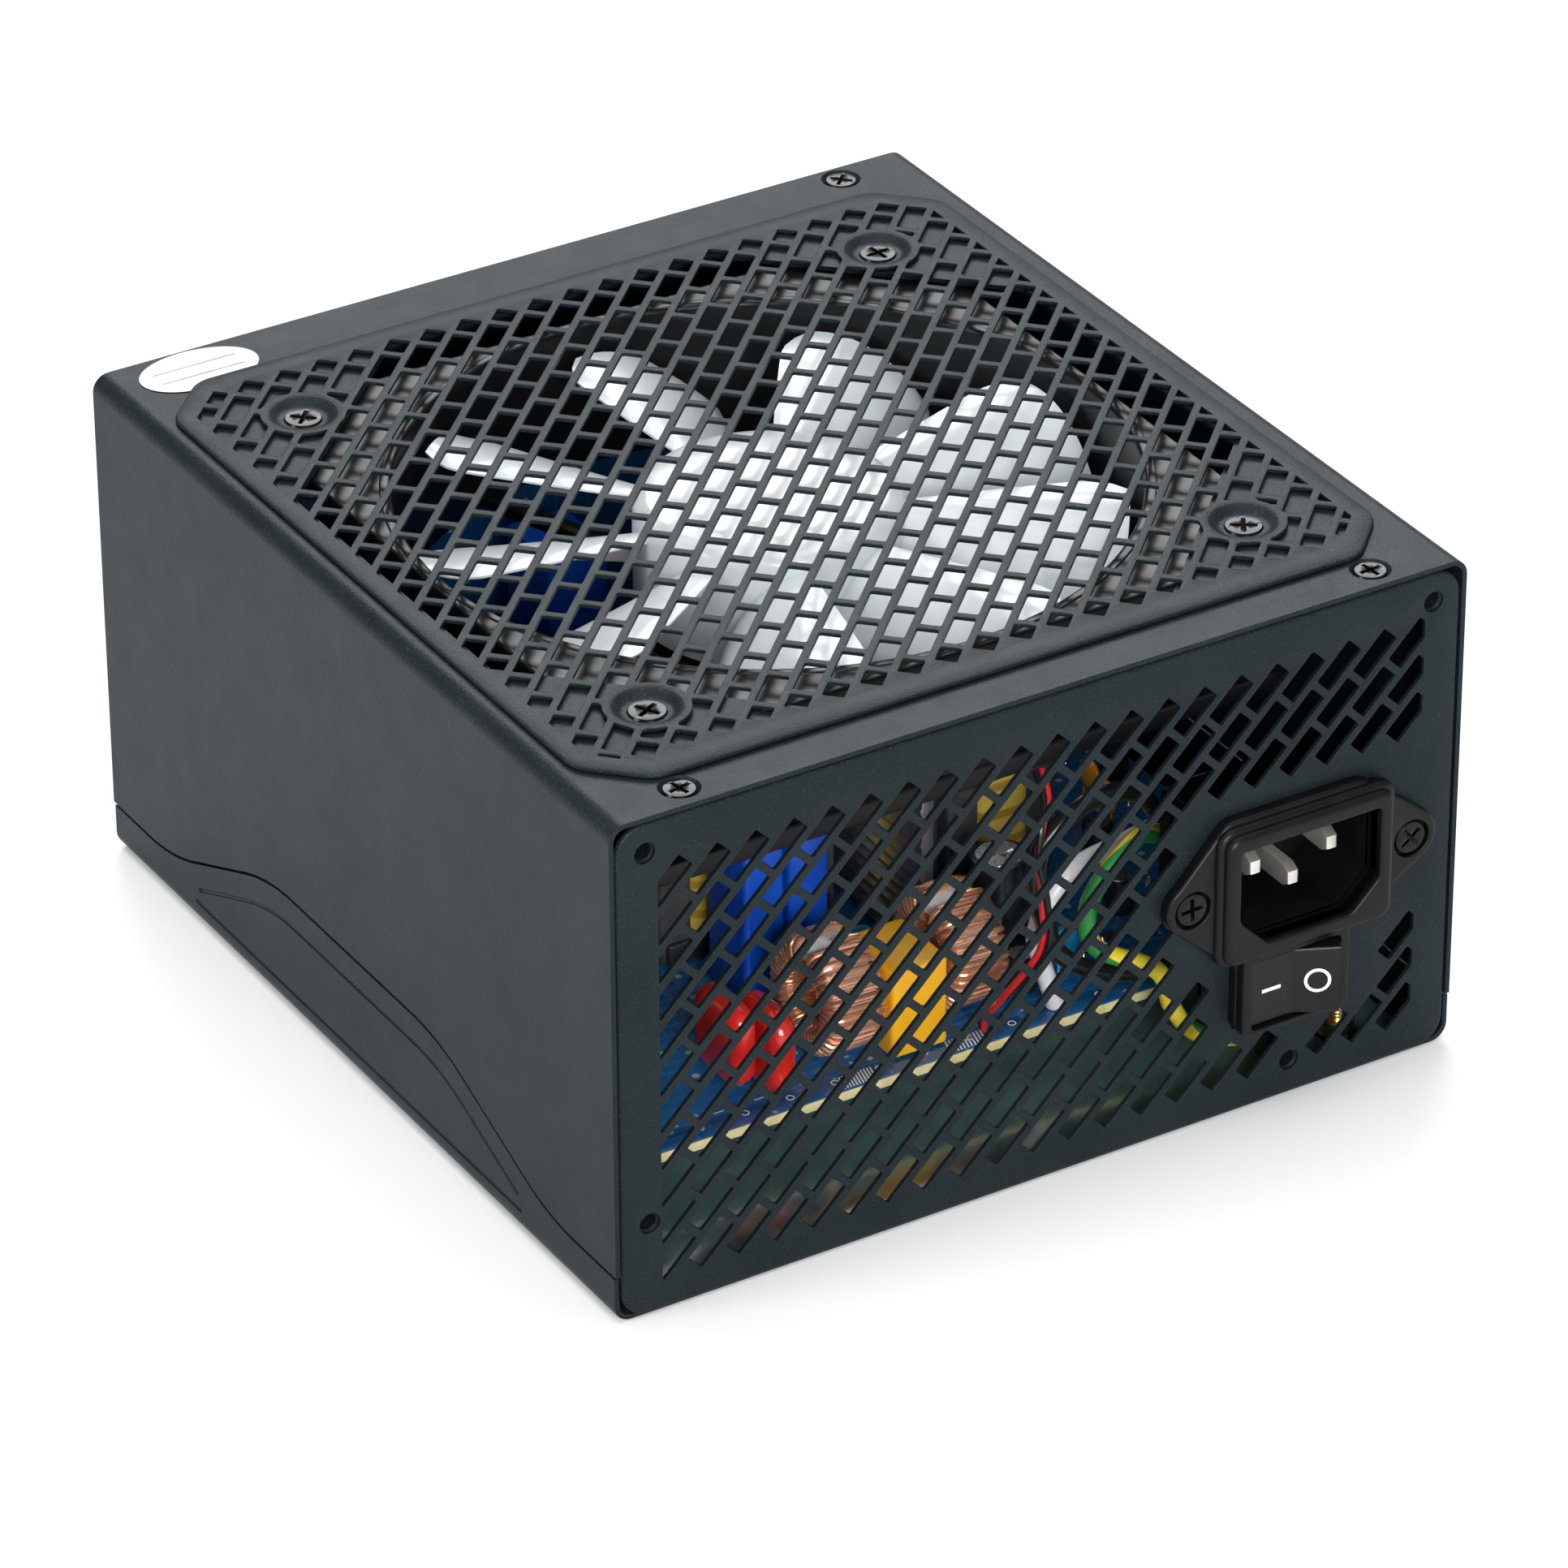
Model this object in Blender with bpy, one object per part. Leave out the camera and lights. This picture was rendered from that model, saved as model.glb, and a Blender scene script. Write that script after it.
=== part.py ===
"""Computer power supply unit: slotted steel case, top fan, mains inlet with rocker switch, inner parts.

Origin at the middle of the case's underside. +Z up through the fan grille, -Y out of the mains end.
Lengths are written in millimetres and turned into metres where a mesh is made.
"""

from math import atan2, ceil, cos, hypot, pi, radians, sin, sqrt, tan

import bmesh
import bpy
from mathutils.geometry import tessellate_polygon
from mathutils import Matrix, Vector

MM = 0.001

# Case
WIDTH = 150.0
DEPTH = 160.0
HEIGHT = 86.0
SHEET = 0.8
GAP = 0.3
BEND = 2.8
HALF_W = WIDTH / 2
HALF_D = DEPTH / 2
WALL_HALF_W = HALF_W - SHEET - GAP
WALL_TOP = HEIGHT - SHEET - GAP
WALL_CORNER = 4.5

# Wavy seam between tray skirts and cover walls, as half a seam gap each side of a line
SEAM_GAP = 0.5
SEAM_LOW = 8.1
SEAM_HIGH = 21.6
SEAM_RAMP_START = 27.0
SEAM_RAMP_END = 60.0

# Fan and the grille plate above it
FAN_X = -0.8
FAN_Y = -1.7
FAN_SIZE = 120.0
FAN_DEPTH = 25.0
FAN_SCREW_PITCH = 105.0
FAN_TOP = HEIGHT - SHEET - GAP
FAN_BOTTOM = FAN_TOP - FAN_DEPTH
FAN_DUCT = 57.8
BLADE_COUNT = 9
BLADE_TIP = 55.6
BLADE_LEADING_ANGLE = 97.0
BLADE_DROP = 10.0
HUB_RADIUS = 21.0
HUB_TOP = 83.0
GRILLE_BOTTOM = HEIGHT + GAP
GRILLE_SHEET = 0.6
GRILLE_TOP = GRILLE_BOTTOM + GRILLE_SHEET
GRILLE_HALF = 70.5
GRILLE_CHAMFER = 8.8
WINDOW_HALF = 66.0
WINDOW_CHAMFER = 36.0
RING_STEPS = 40

# Slots, in diagonal rows like brickwork, each solid slot here spanning several bricks of a row
SLOT_WIDTH = 3.35
SLOT_WEB = 1.3
ROW_PITCH = 6.5 / sqrt(2)
BRICK_PITCH = 2 * ROW_PITCH
BRICKS_PER_SLOT = 5
TOP_SLOT_HALF = 67.4
TOP_SLOT_CHAMFER = 7.5
TOP_ROW_SHIFT = -2.85
REAR_ROW_SHIFT = 1.81
BOSS_RADIUS = 6.4

# Screws
FAN_SCREW_HEAD = 3.1
FAN_SCREW_SHANK = 1.6
COVER_SCREW_HEAD = 2.7
COVER_SCREW_SHANK = 1.4
COVER_SCREW_X = 60.4
COVER_SCREW_REAR_Y = -75.3
COVER_SCREW_FRONT_Y = 76.2
PANEL_HOLES = ((-69.0, 80.0), (69.0, 80.0), (-69.0, 16.0), (45.0, 6.0))
PANEL_HOLE_RADIUS = 1.65

# Mains inlet and rocker switch, in one black moulding
INLET_X = 45.1
INLET_Z = 40.8
INLET_SCREW_OFFSET = 20.0
INLET_SCREW_HEAD = 2.9
FLANGE_BACK = -HALF_D - GAP
FLANGE_FRONT = FLANGE_BACK - 1.8
INLET_FRONT = -84.4
SWITCH_FRONT = -83.8
INLET_BACK = -63.0
SOCKET_FLOOR = -66.5
SOCKET_HALF_W = 12.7
SOCKET_HALF_H = 8.65
SWITCH_X = 43.3
SWITCH_Z = 22.6
OPENING_HALF_W = 8.05
OPENING_HALF_H = 6.15
PIVOT_Y = -81.9
ROCKER_HALF_ANGLE = 13.0
ROCKER_HALF_W = 7.19
ROCKER_VALLEY = 1.2
ROCKER_HALF_H = 5.85
TRUNNION_RADIUS = 1.1
TRUNNION_LENGTH = 0.6

# Circuit board
BOARD_BOTTOM = 8.4
BOARD_TOP = 10.0
BOARD_HALF_W = 70.0
BOARD_REAR_Y = -57.0
BOARD_FRONT_Y = 75.0
SEAT = BOARD_TOP + GAP
POST_X = 64.5
POST_REAR_Y = -52.5
POST_FRONT_Y = 70.0

# Film under the board, and the case's earth screw that stands through it
FILM_THICKNESS = 0.25
FILM_REAR_Y = -77.5
FILM_FRONT_Y = 77.0
FILM_HOLE_RADIUS = 3.4
EARTH_SCREW_X = 60.0
EARTH_SCREW_Y = -71.0

# Sheet seal, as centre and half sizes
STICKER_X = -59.7
STICKER_Y = 73.1
STICKER_HALF_W = 10.1
STICKER_HALF_D = 6.3

# Parts of the mains filter: where each begins and ends on X, Y and Z
FILM_CAPACITORS = (("film_capacitor_left", -37.7, -52.5, 12.0), ("film_capacitor_right", -32.5, -55.5, 10.6))
FILM_CAPACITOR_THICKNESS = 4.5
FILM_CAPACITOR_LENGTH = 13.5
FILM_CAPACITOR_HEIGHT = 14.5
X_CAPACITOR_X = (-10.4, -0.4)
X_CAPACITOR_Y = (-53.7, -40.2)
X_CAPACITOR_TOP = 25.8
CHOKES = (("input_choke_left", -16.5, -44.6), ("input_choke_right", 6.6, -43.3))
CHOKE_RADIUS = 10.0
CHOKE_HOLE_RADIUS = 4.6
CHOKE_WIDTH = 10.6
BOX_CAPACITORS_X = (("box_capacitor_left", -18.5), ("box_capacitor_right", -10.5))
BOX_CAPACITOR_HALF_W = 3.6
BOX_CAPACITOR_Y = (-29.5, -18.0)
BOX_CAPACITOR_TOP = 40.5

# Cans: name, centre X, centre Y, radius, height
CANS = (
    ("standby_capacitor", 22.0, -33.0, 5.0, 16.0),
    ("bulk_capacitor", -50.0, -25.0, 13.0, 39.0),
    ("output_capacitor_1", -52.0, 44.0, 5.0, 25.0),
    ("output_capacitor_2", -39.0, 44.0, 5.0, 25.0),
    ("output_capacitor_3", -26.0, 44.0, 5.0, 25.0),
)

# Heatsinks: a plate with a flange along its top
HEATSINK_SHEET = 2.5
PRIMARY_SINK_X = (8.0, 17.0)
PRIMARY_SINK_Y = (-32.0, 30.0)
PRIMARY_SINK_TOP = 42.0
SECONDARY_SINK_X = (-60.0, 4.0)
SECONDARY_SINK_Y = (26.0, 30.5)
SECONDARY_SINK_TOP = 45.0

# Output sockets in the front wall: name, centre X, centre Z, width, height
OUTPUT_SOCKETS = (
    ("mainboard_socket", -22.0, 62.0, 54.0, 11.0),
    ("power_socket_1", 22.0, 62.0, 18.6, 11.0),
    ("power_socket_2", 47.0, 62.0, 18.6, 11.0),
    ("power_socket_3", -36.0, 36.0, 18.6, 11.0),
    ("power_socket_4", -11.0, 36.0, 18.6, 11.0),
)
SOCKET_BACK = 68.0
SOCKET_PROUD = 2.5
SOCKET_CLEARANCE = 0.4

# Colour, roughness and metallic value of each material
FINISHES = {
    "case_paint": ((0.052, 0.062, 0.075), 0.55, 0.0),
    "black_screw": ((0.02, 0.02, 0.022), 0.35, 0.9),
    "sticker": ((0.85, 0.85, 0.85), 0.6, 0.0),
    "black_plastic": ((0.015, 0.015, 0.016), 0.45, 0.0),
    "pin_metal": ((0.75, 0.74, 0.7), 0.25, 1.0),
    "fan_black": ((0.02, 0.02, 0.022), 0.5, 0.0),
    "fan_white": ((0.8, 0.84, 0.86), 0.3, 0.0),
    "steel": ((0.6, 0.6, 0.6), 0.3, 1.0),
    "copper": ((0.55, 0.23, 0.09), 0.35, 1.0),
    "board_blue": ((0.01, 0.05, 0.16), 0.4, 0.0),
    "clear_film": ((0.8, 0.85, 0.88), 0.15, 0.0),
    "brass": ((0.7, 0.5, 0.2), 0.3, 1.0),
    "aluminium": ((0.6, 0.61, 0.62), 0.35, 1.0),
    "capacitor_sleeve": ((0.02, 0.02, 0.022), 0.35, 0.0),
    "red_epoxy": ((0.45, 0.03, 0.02), 0.3, 0.0),
    "yellow_plastic": ((0.8, 0.5, 0.04), 0.4, 0.0),
    "blue_plastic": ((0.01, 0.09, 0.45), 0.35, 0.0),
    "tape_yellow": ((0.7, 0.5, 0.1), 0.45, 0.0),
    "ferrite": ((0.05, 0.05, 0.052), 0.5, 0.0),
    "chip_black": ((0.02, 0.02, 0.02), 0.5, 0.0),
    "wire_black": ((0.012, 0.012, 0.012), 0.4, 0.0),
    "wire_white": ((0.75, 0.74, 0.7), 0.45, 0.0),
    "wire_green": ((0.1, 0.35, 0.06), 0.4, 0.0),
    "wire_red": ((0.5, 0.02, 0.02), 0.4, 0.0),
}

# Points along each lead, from the mains end or the fan to its other end
LIVE_ROUTE = ((36.4, -58.8, 42.8), (34.0, -58.9, 43.0), (31.0, -59.6, 47.0), (26.0, -60.5, 50.3),
              (19.0, -61.0, 50.5),
              (12.0, -61.0, 46.0), (10.3, -61.2, 40.0), (11.5, -61.5, 33.0), (15.0, -61.5, 25.0),
              (23.0, -61.5, 19.5), (32.0, -61.5, 17.0), (39.0, -62.5, 17.5), (43.0, -65.0, 20.0),
              (43.3, -68.5, 21.0))
NEUTRAL_ROUTE = ((50.4, -58.8, 42.8), (48.0, -58.4, 43.4), (44.0, -55.2, 43.2), (38.5, -54.6, 38.5),
                 (30.0, -55.0, 37.0), (22.0, -55.5, 36.0), (16.5, -56.0, 32.0), (14.5, -55.0, 25.4),
                 (16.6, -54.0, 18.6), (19.2, -53.4, 10.6))
EARTH_ROUTE = ((43.6, -58.8, 38.8), (39.0, -59.4, 38.2), (33.5, -60.2, 40.0), (29.3, -61.6, 42.2),
               (25.0, -64.0, 42.4), (20.8, -65.0, 40.0), (17.4, -65.0, 34.5), (19.0, -65.0, 27.0),
               (29.5, -66.2, 20.0), (32.0, -67.0, 13.0), (36.0, -68.0, 7.5), (43.0, -69.0, 5.0),
               (55.0, -71.0, 3.4))
FAN_ROUTE = ((11.0, -60.5, 58.9), (10.5, -63.5, 55.5), (8.5, -65.5, 52.0), (7.6, -66.0, 47.0),
             (8.5, -66.5, 40.0), (8.5, -66.5, 31.0), (6.0, -60.0, 20.0), (6.0, -54.5, 13.5),
             (6.0, -53.5, 10.5))
MAINS_WIRE_RADIUS = 1.5
FAN_LEAD_RADIUS = 1.1


def clear_scene():
    for item in list(bpy.data.objects):
        bpy.data.objects.remove(item)


def finish_of(name):
    """The named material, made the first time it is asked for."""
    if name in bpy.data.materials:
        return bpy.data.materials[name]
    colour, roughness, metallic = FINISHES[name]
    made = bpy.data.materials.new(name)
    made.use_nodes = True
    shader = made.node_tree.nodes["Principled BSDF"]
    shader.inputs["Base Color"].default_value = (*colour, 1.0)
    shader.inputs["Roughness"].default_value = roughness
    shader.inputs["Metallic"].default_value = metallic
    return made


def make_object(name, points, faces, finish, smooth_angle=None):
    """A mesh object with its faces turned outwards; points are in millimetres."""
    mesh = bpy.data.meshes.new(name)
    mesh.from_pydata([Vector(p) * MM for p in points], [], faces)
    bm = bmesh.new()
    bm.from_mesh(mesh)
    bmesh.ops.recalc_face_normals(bm, faces=bm.faces)
    bm.to_mesh(mesh)
    bm.free()
    mesh.materials.append(finish_of(finish))
    if smooth_angle is not None:
        mesh.shade_smooth()
        mesh.set_sharp_from_angle(angle=radians(smooth_angle))
    made = bpy.data.objects.new(name, mesh)
    bpy.context.scene.collection.objects.link(made)
    return made


def combine(body, tool, operation):
    """Joins the tool to the body, or cuts it out, and removes the tool."""
    modifier = body.modifiers.new("Combine", "BOOLEAN")
    modifier.operation = operation
    modifier.object = tool
    modifier.solver = "EXACT"
    depsgraph = bpy.context.evaluated_depsgraph_get()
    mesh = bpy.data.meshes.new_from_object(body.evaluated_get(depsgraph))
    body.modifiers.clear()
    body.data = mesh
    bpy.data.objects.remove(tool)
    return body


def place(axis, u, v, along):
    """A point given by its two flat coordinates and its height along the axis."""
    if axis == "X":
        return (along, u, v)
    if axis == "Y":
        return (u, along, v)
    return (u, v, along)


def prism(name, outline, low, high, finish, axis="Z", holes=(), smooth_angle=None):
    """A flat outline with holes, swept straight along one axis."""
    loops = [list(outline)] + [list(hole) for hole in holes]
    flat = [point for loop in loops for point in loop]
    count = len(flat)
    points = [place(axis, u, v, along) for along in (low, high) for u, v in flat]
    faces = []
    for a, b, c in tessellate_polygon([[(u, v, 0.0) for u, v in loop] for loop in loops]):
        faces.append((a, b, c))
        faces.append((c + count, b + count, a + count))
    start = 0
    for loop in loops:
        for i in range(len(loop)):
            a = start + i
            b = start + (i + 1) % len(loop)
            faces.append((a, b, b + count, a + count))
        start += len(loop)
    return make_object(name, points, faces, finish, smooth_angle)


def rectangle(u0, u1, v0, v1):
    return [(u0, v0), (u1, v0), (u1, v1), (u0, v1)]


def box(name, x, y, z, finish):
    """A block between the two ends given for each axis."""
    return prism(name, rectangle(x[0], x[1], y[0], y[1]), z[0], z[1], finish)


def arc(cu, cv, radius, start, end, steps):
    """Points on an arc, angles in degrees, both ends included."""
    turns = [radians(start + (end - start) * i / steps) for i in range(steps + 1)]
    return [(cu + radius * cos(t), cv + radius * sin(t)) for t in turns]


def circle(cu, cv, radius, steps):
    return arc(cu, cv, radius, 0, 360, steps)[:-1]


def rounded(u0, u1, v0, v1, radius, steps=4):
    """A rectangle with four round corners."""
    return (
        arc(u1 - radius, v1 - radius, radius, 0, 90, steps)
        + arc(u0 + radius, v1 - radius, radius, 90, 180, steps)
        + arc(u0 + radius, v0 + radius, radius, 180, 270, steps)
        + arc(u1 - radius, v0 + radius, radius, 270, 360, steps)
    )


def chamfered_square(cu, cv, half, chamfer):
    near = half - chamfer
    corners = [(half, near), (near, half), (-near, half), (-half, near)]
    corners += [(-half, -near), (-near, -half), (near, -half), (half, -near)]
    return [(cu + u, cv + v) for u, v in corners]


def turned(name, profile, centre, finish, axis="Z", steps=16, smooth_angle=35):
    """A round piece from its profile of (radius, height) points; a radius of 0 closes an end."""
    points, faces, rings = [], [], []
    for radius, height in profile:
        if radius == 0:
            rings.append([len(points)] * steps)
            points.append((0.0, 0.0, height))
            continue
        rings.append(list(range(len(points), len(points) + steps)))
        points += [(u, v, height) for u, v in circle(0, 0, radius, steps)]
    for lower, upper in zip(rings, rings[1:] + rings[:1]):
        for i in range(steps):
            j = (i + 1) % steps
            face = list(dict.fromkeys((lower[i], lower[j], upper[j], upper[i])))
            if len(face) > 2:
                faces.append(face)
    shift = Vector(centre)
    placed = [Vector(place(axis, *point)) + shift for point in points]
    return make_object(name, placed, faces, finish, smooth_angle)


def countersunk_screw(name, head, shank, top, length, centre, finish, axis="Z", outward=1):
    """A flat-headed screw whose head top is level with `top`, pointing back along the axis."""
    profile = [
        (0, top),
        (head, top),
        (shank, top - outward * (head - shank)),
        (shank, top - outward * length),
        (0, top - outward * length),
    ]
    return turned(name, profile, centre, finish, axis, steps=12)


def cone_cutter(head, shank, top, depth, centre, axis="Z", outward=1):
    """The space a countersunk screw needs, with a gap all round."""
    wide = head + GAP + 0.05
    narrow = shank + GAP
    profile = [
        (0, top + outward * 1.0),
        (wide, top + outward * 1.0),
        (wide, top),
        (narrow, top - outward * (wide - narrow)),
        (narrow, top - outward * depth),
        (0, top - outward * depth),
    ]
    return turned("cutter", profile, centre, "case_paint", axis, steps=12)


def tube(name, route, radius, finish):
    """A lead along a smooth curve through its route's points."""
    knots = [Vector(p) for p in route]
    padded = [2 * knots[0] - knots[1]] + knots + [2 * knots[-1] - knots[-2]]
    smooth = []
    for a, b, c, d in zip(padded, padded[1:], padded[2:], padded[3:]):
        steps = max(2, ceil((c - b).length / (5 * radius)))
        for i in range(steps):
            t = i / steps
            smooth.append(0.5 * (2 * b + (c - a) * t + (2 * a - 5 * b + 4 * c - d) * t * t
                                 + (3 * b - a - 3 * c + d) * t ** 3))
    smooth.append(knots[-1])
    curve = bpy.data.curves.new(name, "CURVE")
    curve.dimensions = "3D"
    curve.bevel_depth = radius * MM
    curve.bevel_resolution = 2
    curve.use_fill_caps = True
    spline = curve.splines.new("POLY")
    spline.points.add(len(smooth) - 1)
    for point, place_at in zip(spline.points, smooth):
        point.co = (*(place_at * MM), 1.0)
    curve.materials.append(finish_of(finish))
    made = bpy.data.objects.new(name, curve)
    bpy.context.scene.collection.objects.link(made)
    return made


def slots_in(is_open, reach, row_shift):
    """Slot outlines in diagonal rows wherever the whole width of a slot is open."""
    along = (1 / sqrt(2), 1 / sqrt(2))
    across = (-1 / sqrt(2), 1 / sqrt(2))
    longest = BRICKS_PER_SLOT * BRICK_PITCH - SLOT_WEB
    half = SLOT_WIDTH / 2
    step = 0.5
    rows = int(reach / ROW_PITCH)
    outlines = []

    def at(s, offset):
        return (s * along[0] + offset * across[0], s * along[1] + offset * across[1])

    def close(start, end, offset):
        if end - start > 2 * SLOT_WIDTH:
            outlines.append([at(start, offset - half), at(end, offset - half),
                             at(end, offset + half), at(start, offset + half)])

    for row in range(-rows, rows + 1):
        offset = row * ROW_PITCH + row_shift
        start = None
        s = -reach
        while s < reach:
            if not all(is_open(*at(s, offset + side)) for side in (-half, 0, half)):
                if start is not None:
                    close(start, s - step, offset)
                start = None
            elif start is None:
                start = s
            elif s - start >= longest:
                close(start, s, offset)
                start = s + SLOT_WEB
                s = start
            s += step
    return outlines


def fan_screw_places():
    half = FAN_SCREW_PITCH / 2
    return [(FAN_X + i * half, FAN_Y + j * half) for j in (-1, 1) for i in (-1, 1)]


def cover_screw_places():
    ends = (COVER_SCREW_REAR_Y, COVER_SCREW_FRONT_Y)
    return [(side * COVER_SCREW_X, y) for y in ends for side in (-1, 1)]


def grille_open(x, y):
    """Whether the grille plate may be open at a point measured from its own centre."""
    if max(abs(x), abs(y)) > TOP_SLOT_HALF:
        return False
    if abs(x) + abs(y) > 2 * TOP_SLOT_HALF - TOP_SLOT_CHAMFER:
        return False
    half = FAN_SCREW_PITCH / 2
    return hypot(abs(x) - half, abs(y) - half) > BOSS_RADIUS


def rear_open(x, z):
    """Whether the rear wall may be open at a point: all but its rim, the inlet and its screw hole."""
    left, right, bottom, top = -66.9, 67.6, 4.7, 78.2
    inlet_left, inlet_top = 23.5, 57.6
    if not (left < x < right and bottom < z < top):
        return False
    if x > inlet_left and 12.6 < z < inlet_top and not (x > 62.0 and z < 26.0):
        return False
    return not (43.0 < x < 49.0 and z < inlet_top)


def seam_height(y):
    """Height of the seam line at a depth: high in the middle, low at the ends, straight ramps."""
    share = (SEAM_RAMP_END - abs(y)) / (SEAM_RAMP_END - SEAM_RAMP_START)
    return SEAM_LOW + (SEAM_HIGH - SEAM_LOW) * min(1.0, max(0.0, share))


def seam_line(shift, reach):
    """The seam as points (y, z) from one end to the other, moved up or down by shift."""
    stations = (-reach, -SEAM_RAMP_END, -SEAM_RAMP_START, SEAM_RAMP_START, SEAM_RAMP_END, reach)
    return [(y, seam_height(y) + shift) for y in stations]


def channel(name, length_half, low_z, high_z, bend_low):
    """Bent sheet of the case's width with two side walls, closed at the bottom or at the top."""
    inner = BEND - SHEET
    steps = 4
    edge = HALF_W - BEND
    if bend_low:
        middle = low_z + BEND
        outer = arc(-edge, middle, BEND, 180, 270, steps) + arc(edge, middle, BEND, 270, 360, steps)
        hollow = arc(edge, middle, inner, 360, 270, steps) + arc(-edge, middle, inner, 270, 180, steps)
        free = high_z
    else:
        middle = high_z - BEND
        outer = arc(-edge, middle, BEND, 180, 90, steps) + arc(edge, middle, BEND, 90, 0, steps)
        hollow = arc(edge, middle, inner, 0, 90, steps) + arc(-edge, middle, inner, 90, 180, steps)
        free = low_z
    outline = (
        [(-HALF_W, free)] + outer + [(HALF_W, free), (HALF_W - SHEET, free)]
        + hollow + [(-HALF_W + SHEET, free)]
    )
    return prism(name, outline, -length_half, length_half, "case_paint", "Y", smooth_angle=30)


def rear_wall():
    """The rear panel's sheet with its slots, inlet cut-out and four mounting holes."""
    cutout = [
        (INLET_X - 13.9, INLET_Z + 10.1), (INLET_X + 13.9, INLET_Z + 10.1),
        (INLET_X + 13.9, INLET_Z - 10.1), (SWITCH_X + 9.2, INLET_Z - 10.1),
        (SWITCH_X + 9.2, SWITCH_Z - 7.3), (SWITCH_X - 9.2, SWITCH_Z - 7.3),
        (SWITCH_X - 9.2, INLET_Z - 10.1), (INLET_X - 13.9, INLET_Z - 10.1),
    ]
    holes = [cutout]
    holes += [circle(x, z, PANEL_HOLE_RADIUS, 10) for x, z in PANEL_HOLES]
    holes += [circle(INLET_X + side * INLET_SCREW_OFFSET, INLET_Z - 0.2, 1.9, 10) for side in (-1, 1)]
    holes += slots_in(rear_open, 120.0, REAR_ROW_SHIFT)
    outline = rounded(-WALL_HALF_W, WALL_HALF_W, 0.2, WALL_TOP, WALL_CORNER)
    return prism("rear", outline, -HALF_D, -HALF_D + SHEET, "case_paint", "Y", holes)


def front_wall():
    """The front panel's sheet with an opening for each output socket."""
    holes = []
    for _, x, z, width, height in OUTPUT_SOCKETS:
        half_w = width / 2 + SOCKET_CLEARANCE
        half_h = height / 2 + SOCKET_CLEARANCE
        holes.append(rectangle(x - half_w, x + half_w, z - half_h, z + half_h))
    outline = rounded(-WALL_HALF_W, WALL_HALF_W, 0.2, WALL_TOP, WALL_CORNER)
    return prism("front", outline, HALF_D - SHEET, HALF_D, "case_paint", "Y", holes)


def screw_tab(x, y):
    """A flange under the cover, with a hole for a cover screw."""
    wall = -HALF_D + 0.4 if y < 0 else HALF_D - 0.4
    inner = wall + 10.0 if y < 0 else wall - 10.0
    outline = rectangle(x - 8.0, x + 8.0, min(wall, inner), max(wall, inner))
    hole = circle(x, y, COVER_SCREW_SHANK + GAP, 10)
    return prism("tab", outline, WALL_TOP - 1.0, WALL_TOP - 0.2, "case_paint", holes=[hole])


def bottom_tray():
    tray = channel("bottom_tray", HALF_D - 0.4, 0.0, SEAM_HIGH + 3.0, bend_low=True)
    reach = HALF_D + 5
    above = seam_line(-SEAM_GAP / 2, reach) + [(reach, 40.0), (-reach, 40.0)]
    combine(tray, prism("cutter", above, -90.0, 90.0, "case_paint", "X"), "DIFFERENCE")
    combine(tray, rear_wall(), "UNION")
    combine(tray, front_wall(), "UNION")
    for x, y in cover_screw_places():
        combine(tray, screw_tab(x, y), "UNION")
    return tray


def top_cover():
    cover = channel("top_cover", HALF_D, SEAM_LOW - 3.0, HEIGHT, bend_low=False)
    reach = HALF_D + 5
    below = seam_line(SEAM_GAP / 2, reach) + [(reach, -5.0), (-reach, -5.0)]
    combine(cover, prism("cutter", below, -90.0, 90.0, "case_paint", "X"), "DIFFERENCE")
    window = chamfered_square(FAN_X, FAN_Y, WINDOW_HALF, WINDOW_CHAMFER)
    combine(cover, prism("cutter", window, 80.0, 90.0, "case_paint"), "DIFFERENCE")
    for x, y in fan_screw_places():
        hole = prism("cutter", circle(x, y, FAN_SCREW_SHANK + 1.1, 10), 80.0, 90.0, "case_paint")
        combine(cover, hole, "DIFFERENCE")
    for x, y in cover_screw_places():
        cutter = cone_cutter(COVER_SCREW_HEAD, COVER_SCREW_SHANK, HEIGHT, 4.0, (x, y, 0))
        combine(cover, cutter, "DIFFERENCE")
    return cover


def fan_grille():
    outline = chamfered_square(FAN_X, FAN_Y, GRILLE_HALF, GRILLE_CHAMFER)
    slots = slots_in(grille_open, 130.0, TOP_ROW_SHIFT)
    holes = [[(FAN_X + u, FAN_Y + v) for u, v in slot] for slot in slots]
    grille = prism("fan_grille", outline, GRILLE_BOTTOM, GRILLE_TOP, "case_paint", holes=holes)
    for x, y in fan_screw_places():
        cutter = cone_cutter(FAN_SCREW_HEAD, FAN_SCREW_SHANK, GRILLE_TOP, 4.0, (x, y, 0))
        combine(grille, cutter, "DIFFERENCE")
    return grille


def case_screws():
    for index, (x, y) in enumerate(fan_screw_places(), 1):
        countersunk_screw(f"fan_screw_{index}", FAN_SCREW_HEAD, FAN_SCREW_SHANK,
                          GRILLE_TOP, 12.0, (x, y, 0), "black_screw")
    for index, (x, y) in enumerate(cover_screw_places(), 1):
        countersunk_screw(f"cover_screw_{index}", COVER_SCREW_HEAD, COVER_SCREW_SHANK,
                          HEIGHT, 6.0, (x, y, 0), "black_screw")


def seal_sticker():
    """Oval paper seal over one of the front cover screws."""
    outline = [(STICKER_X + STICKER_HALF_W * u, STICKER_Y + STICKER_HALF_D * v)
               for u, v in circle(0, 0, 1.0, 24)]
    return prism("seal_sticker", outline, HEIGHT + 0.1, HEIGHT + 0.22, "sticker")


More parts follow.
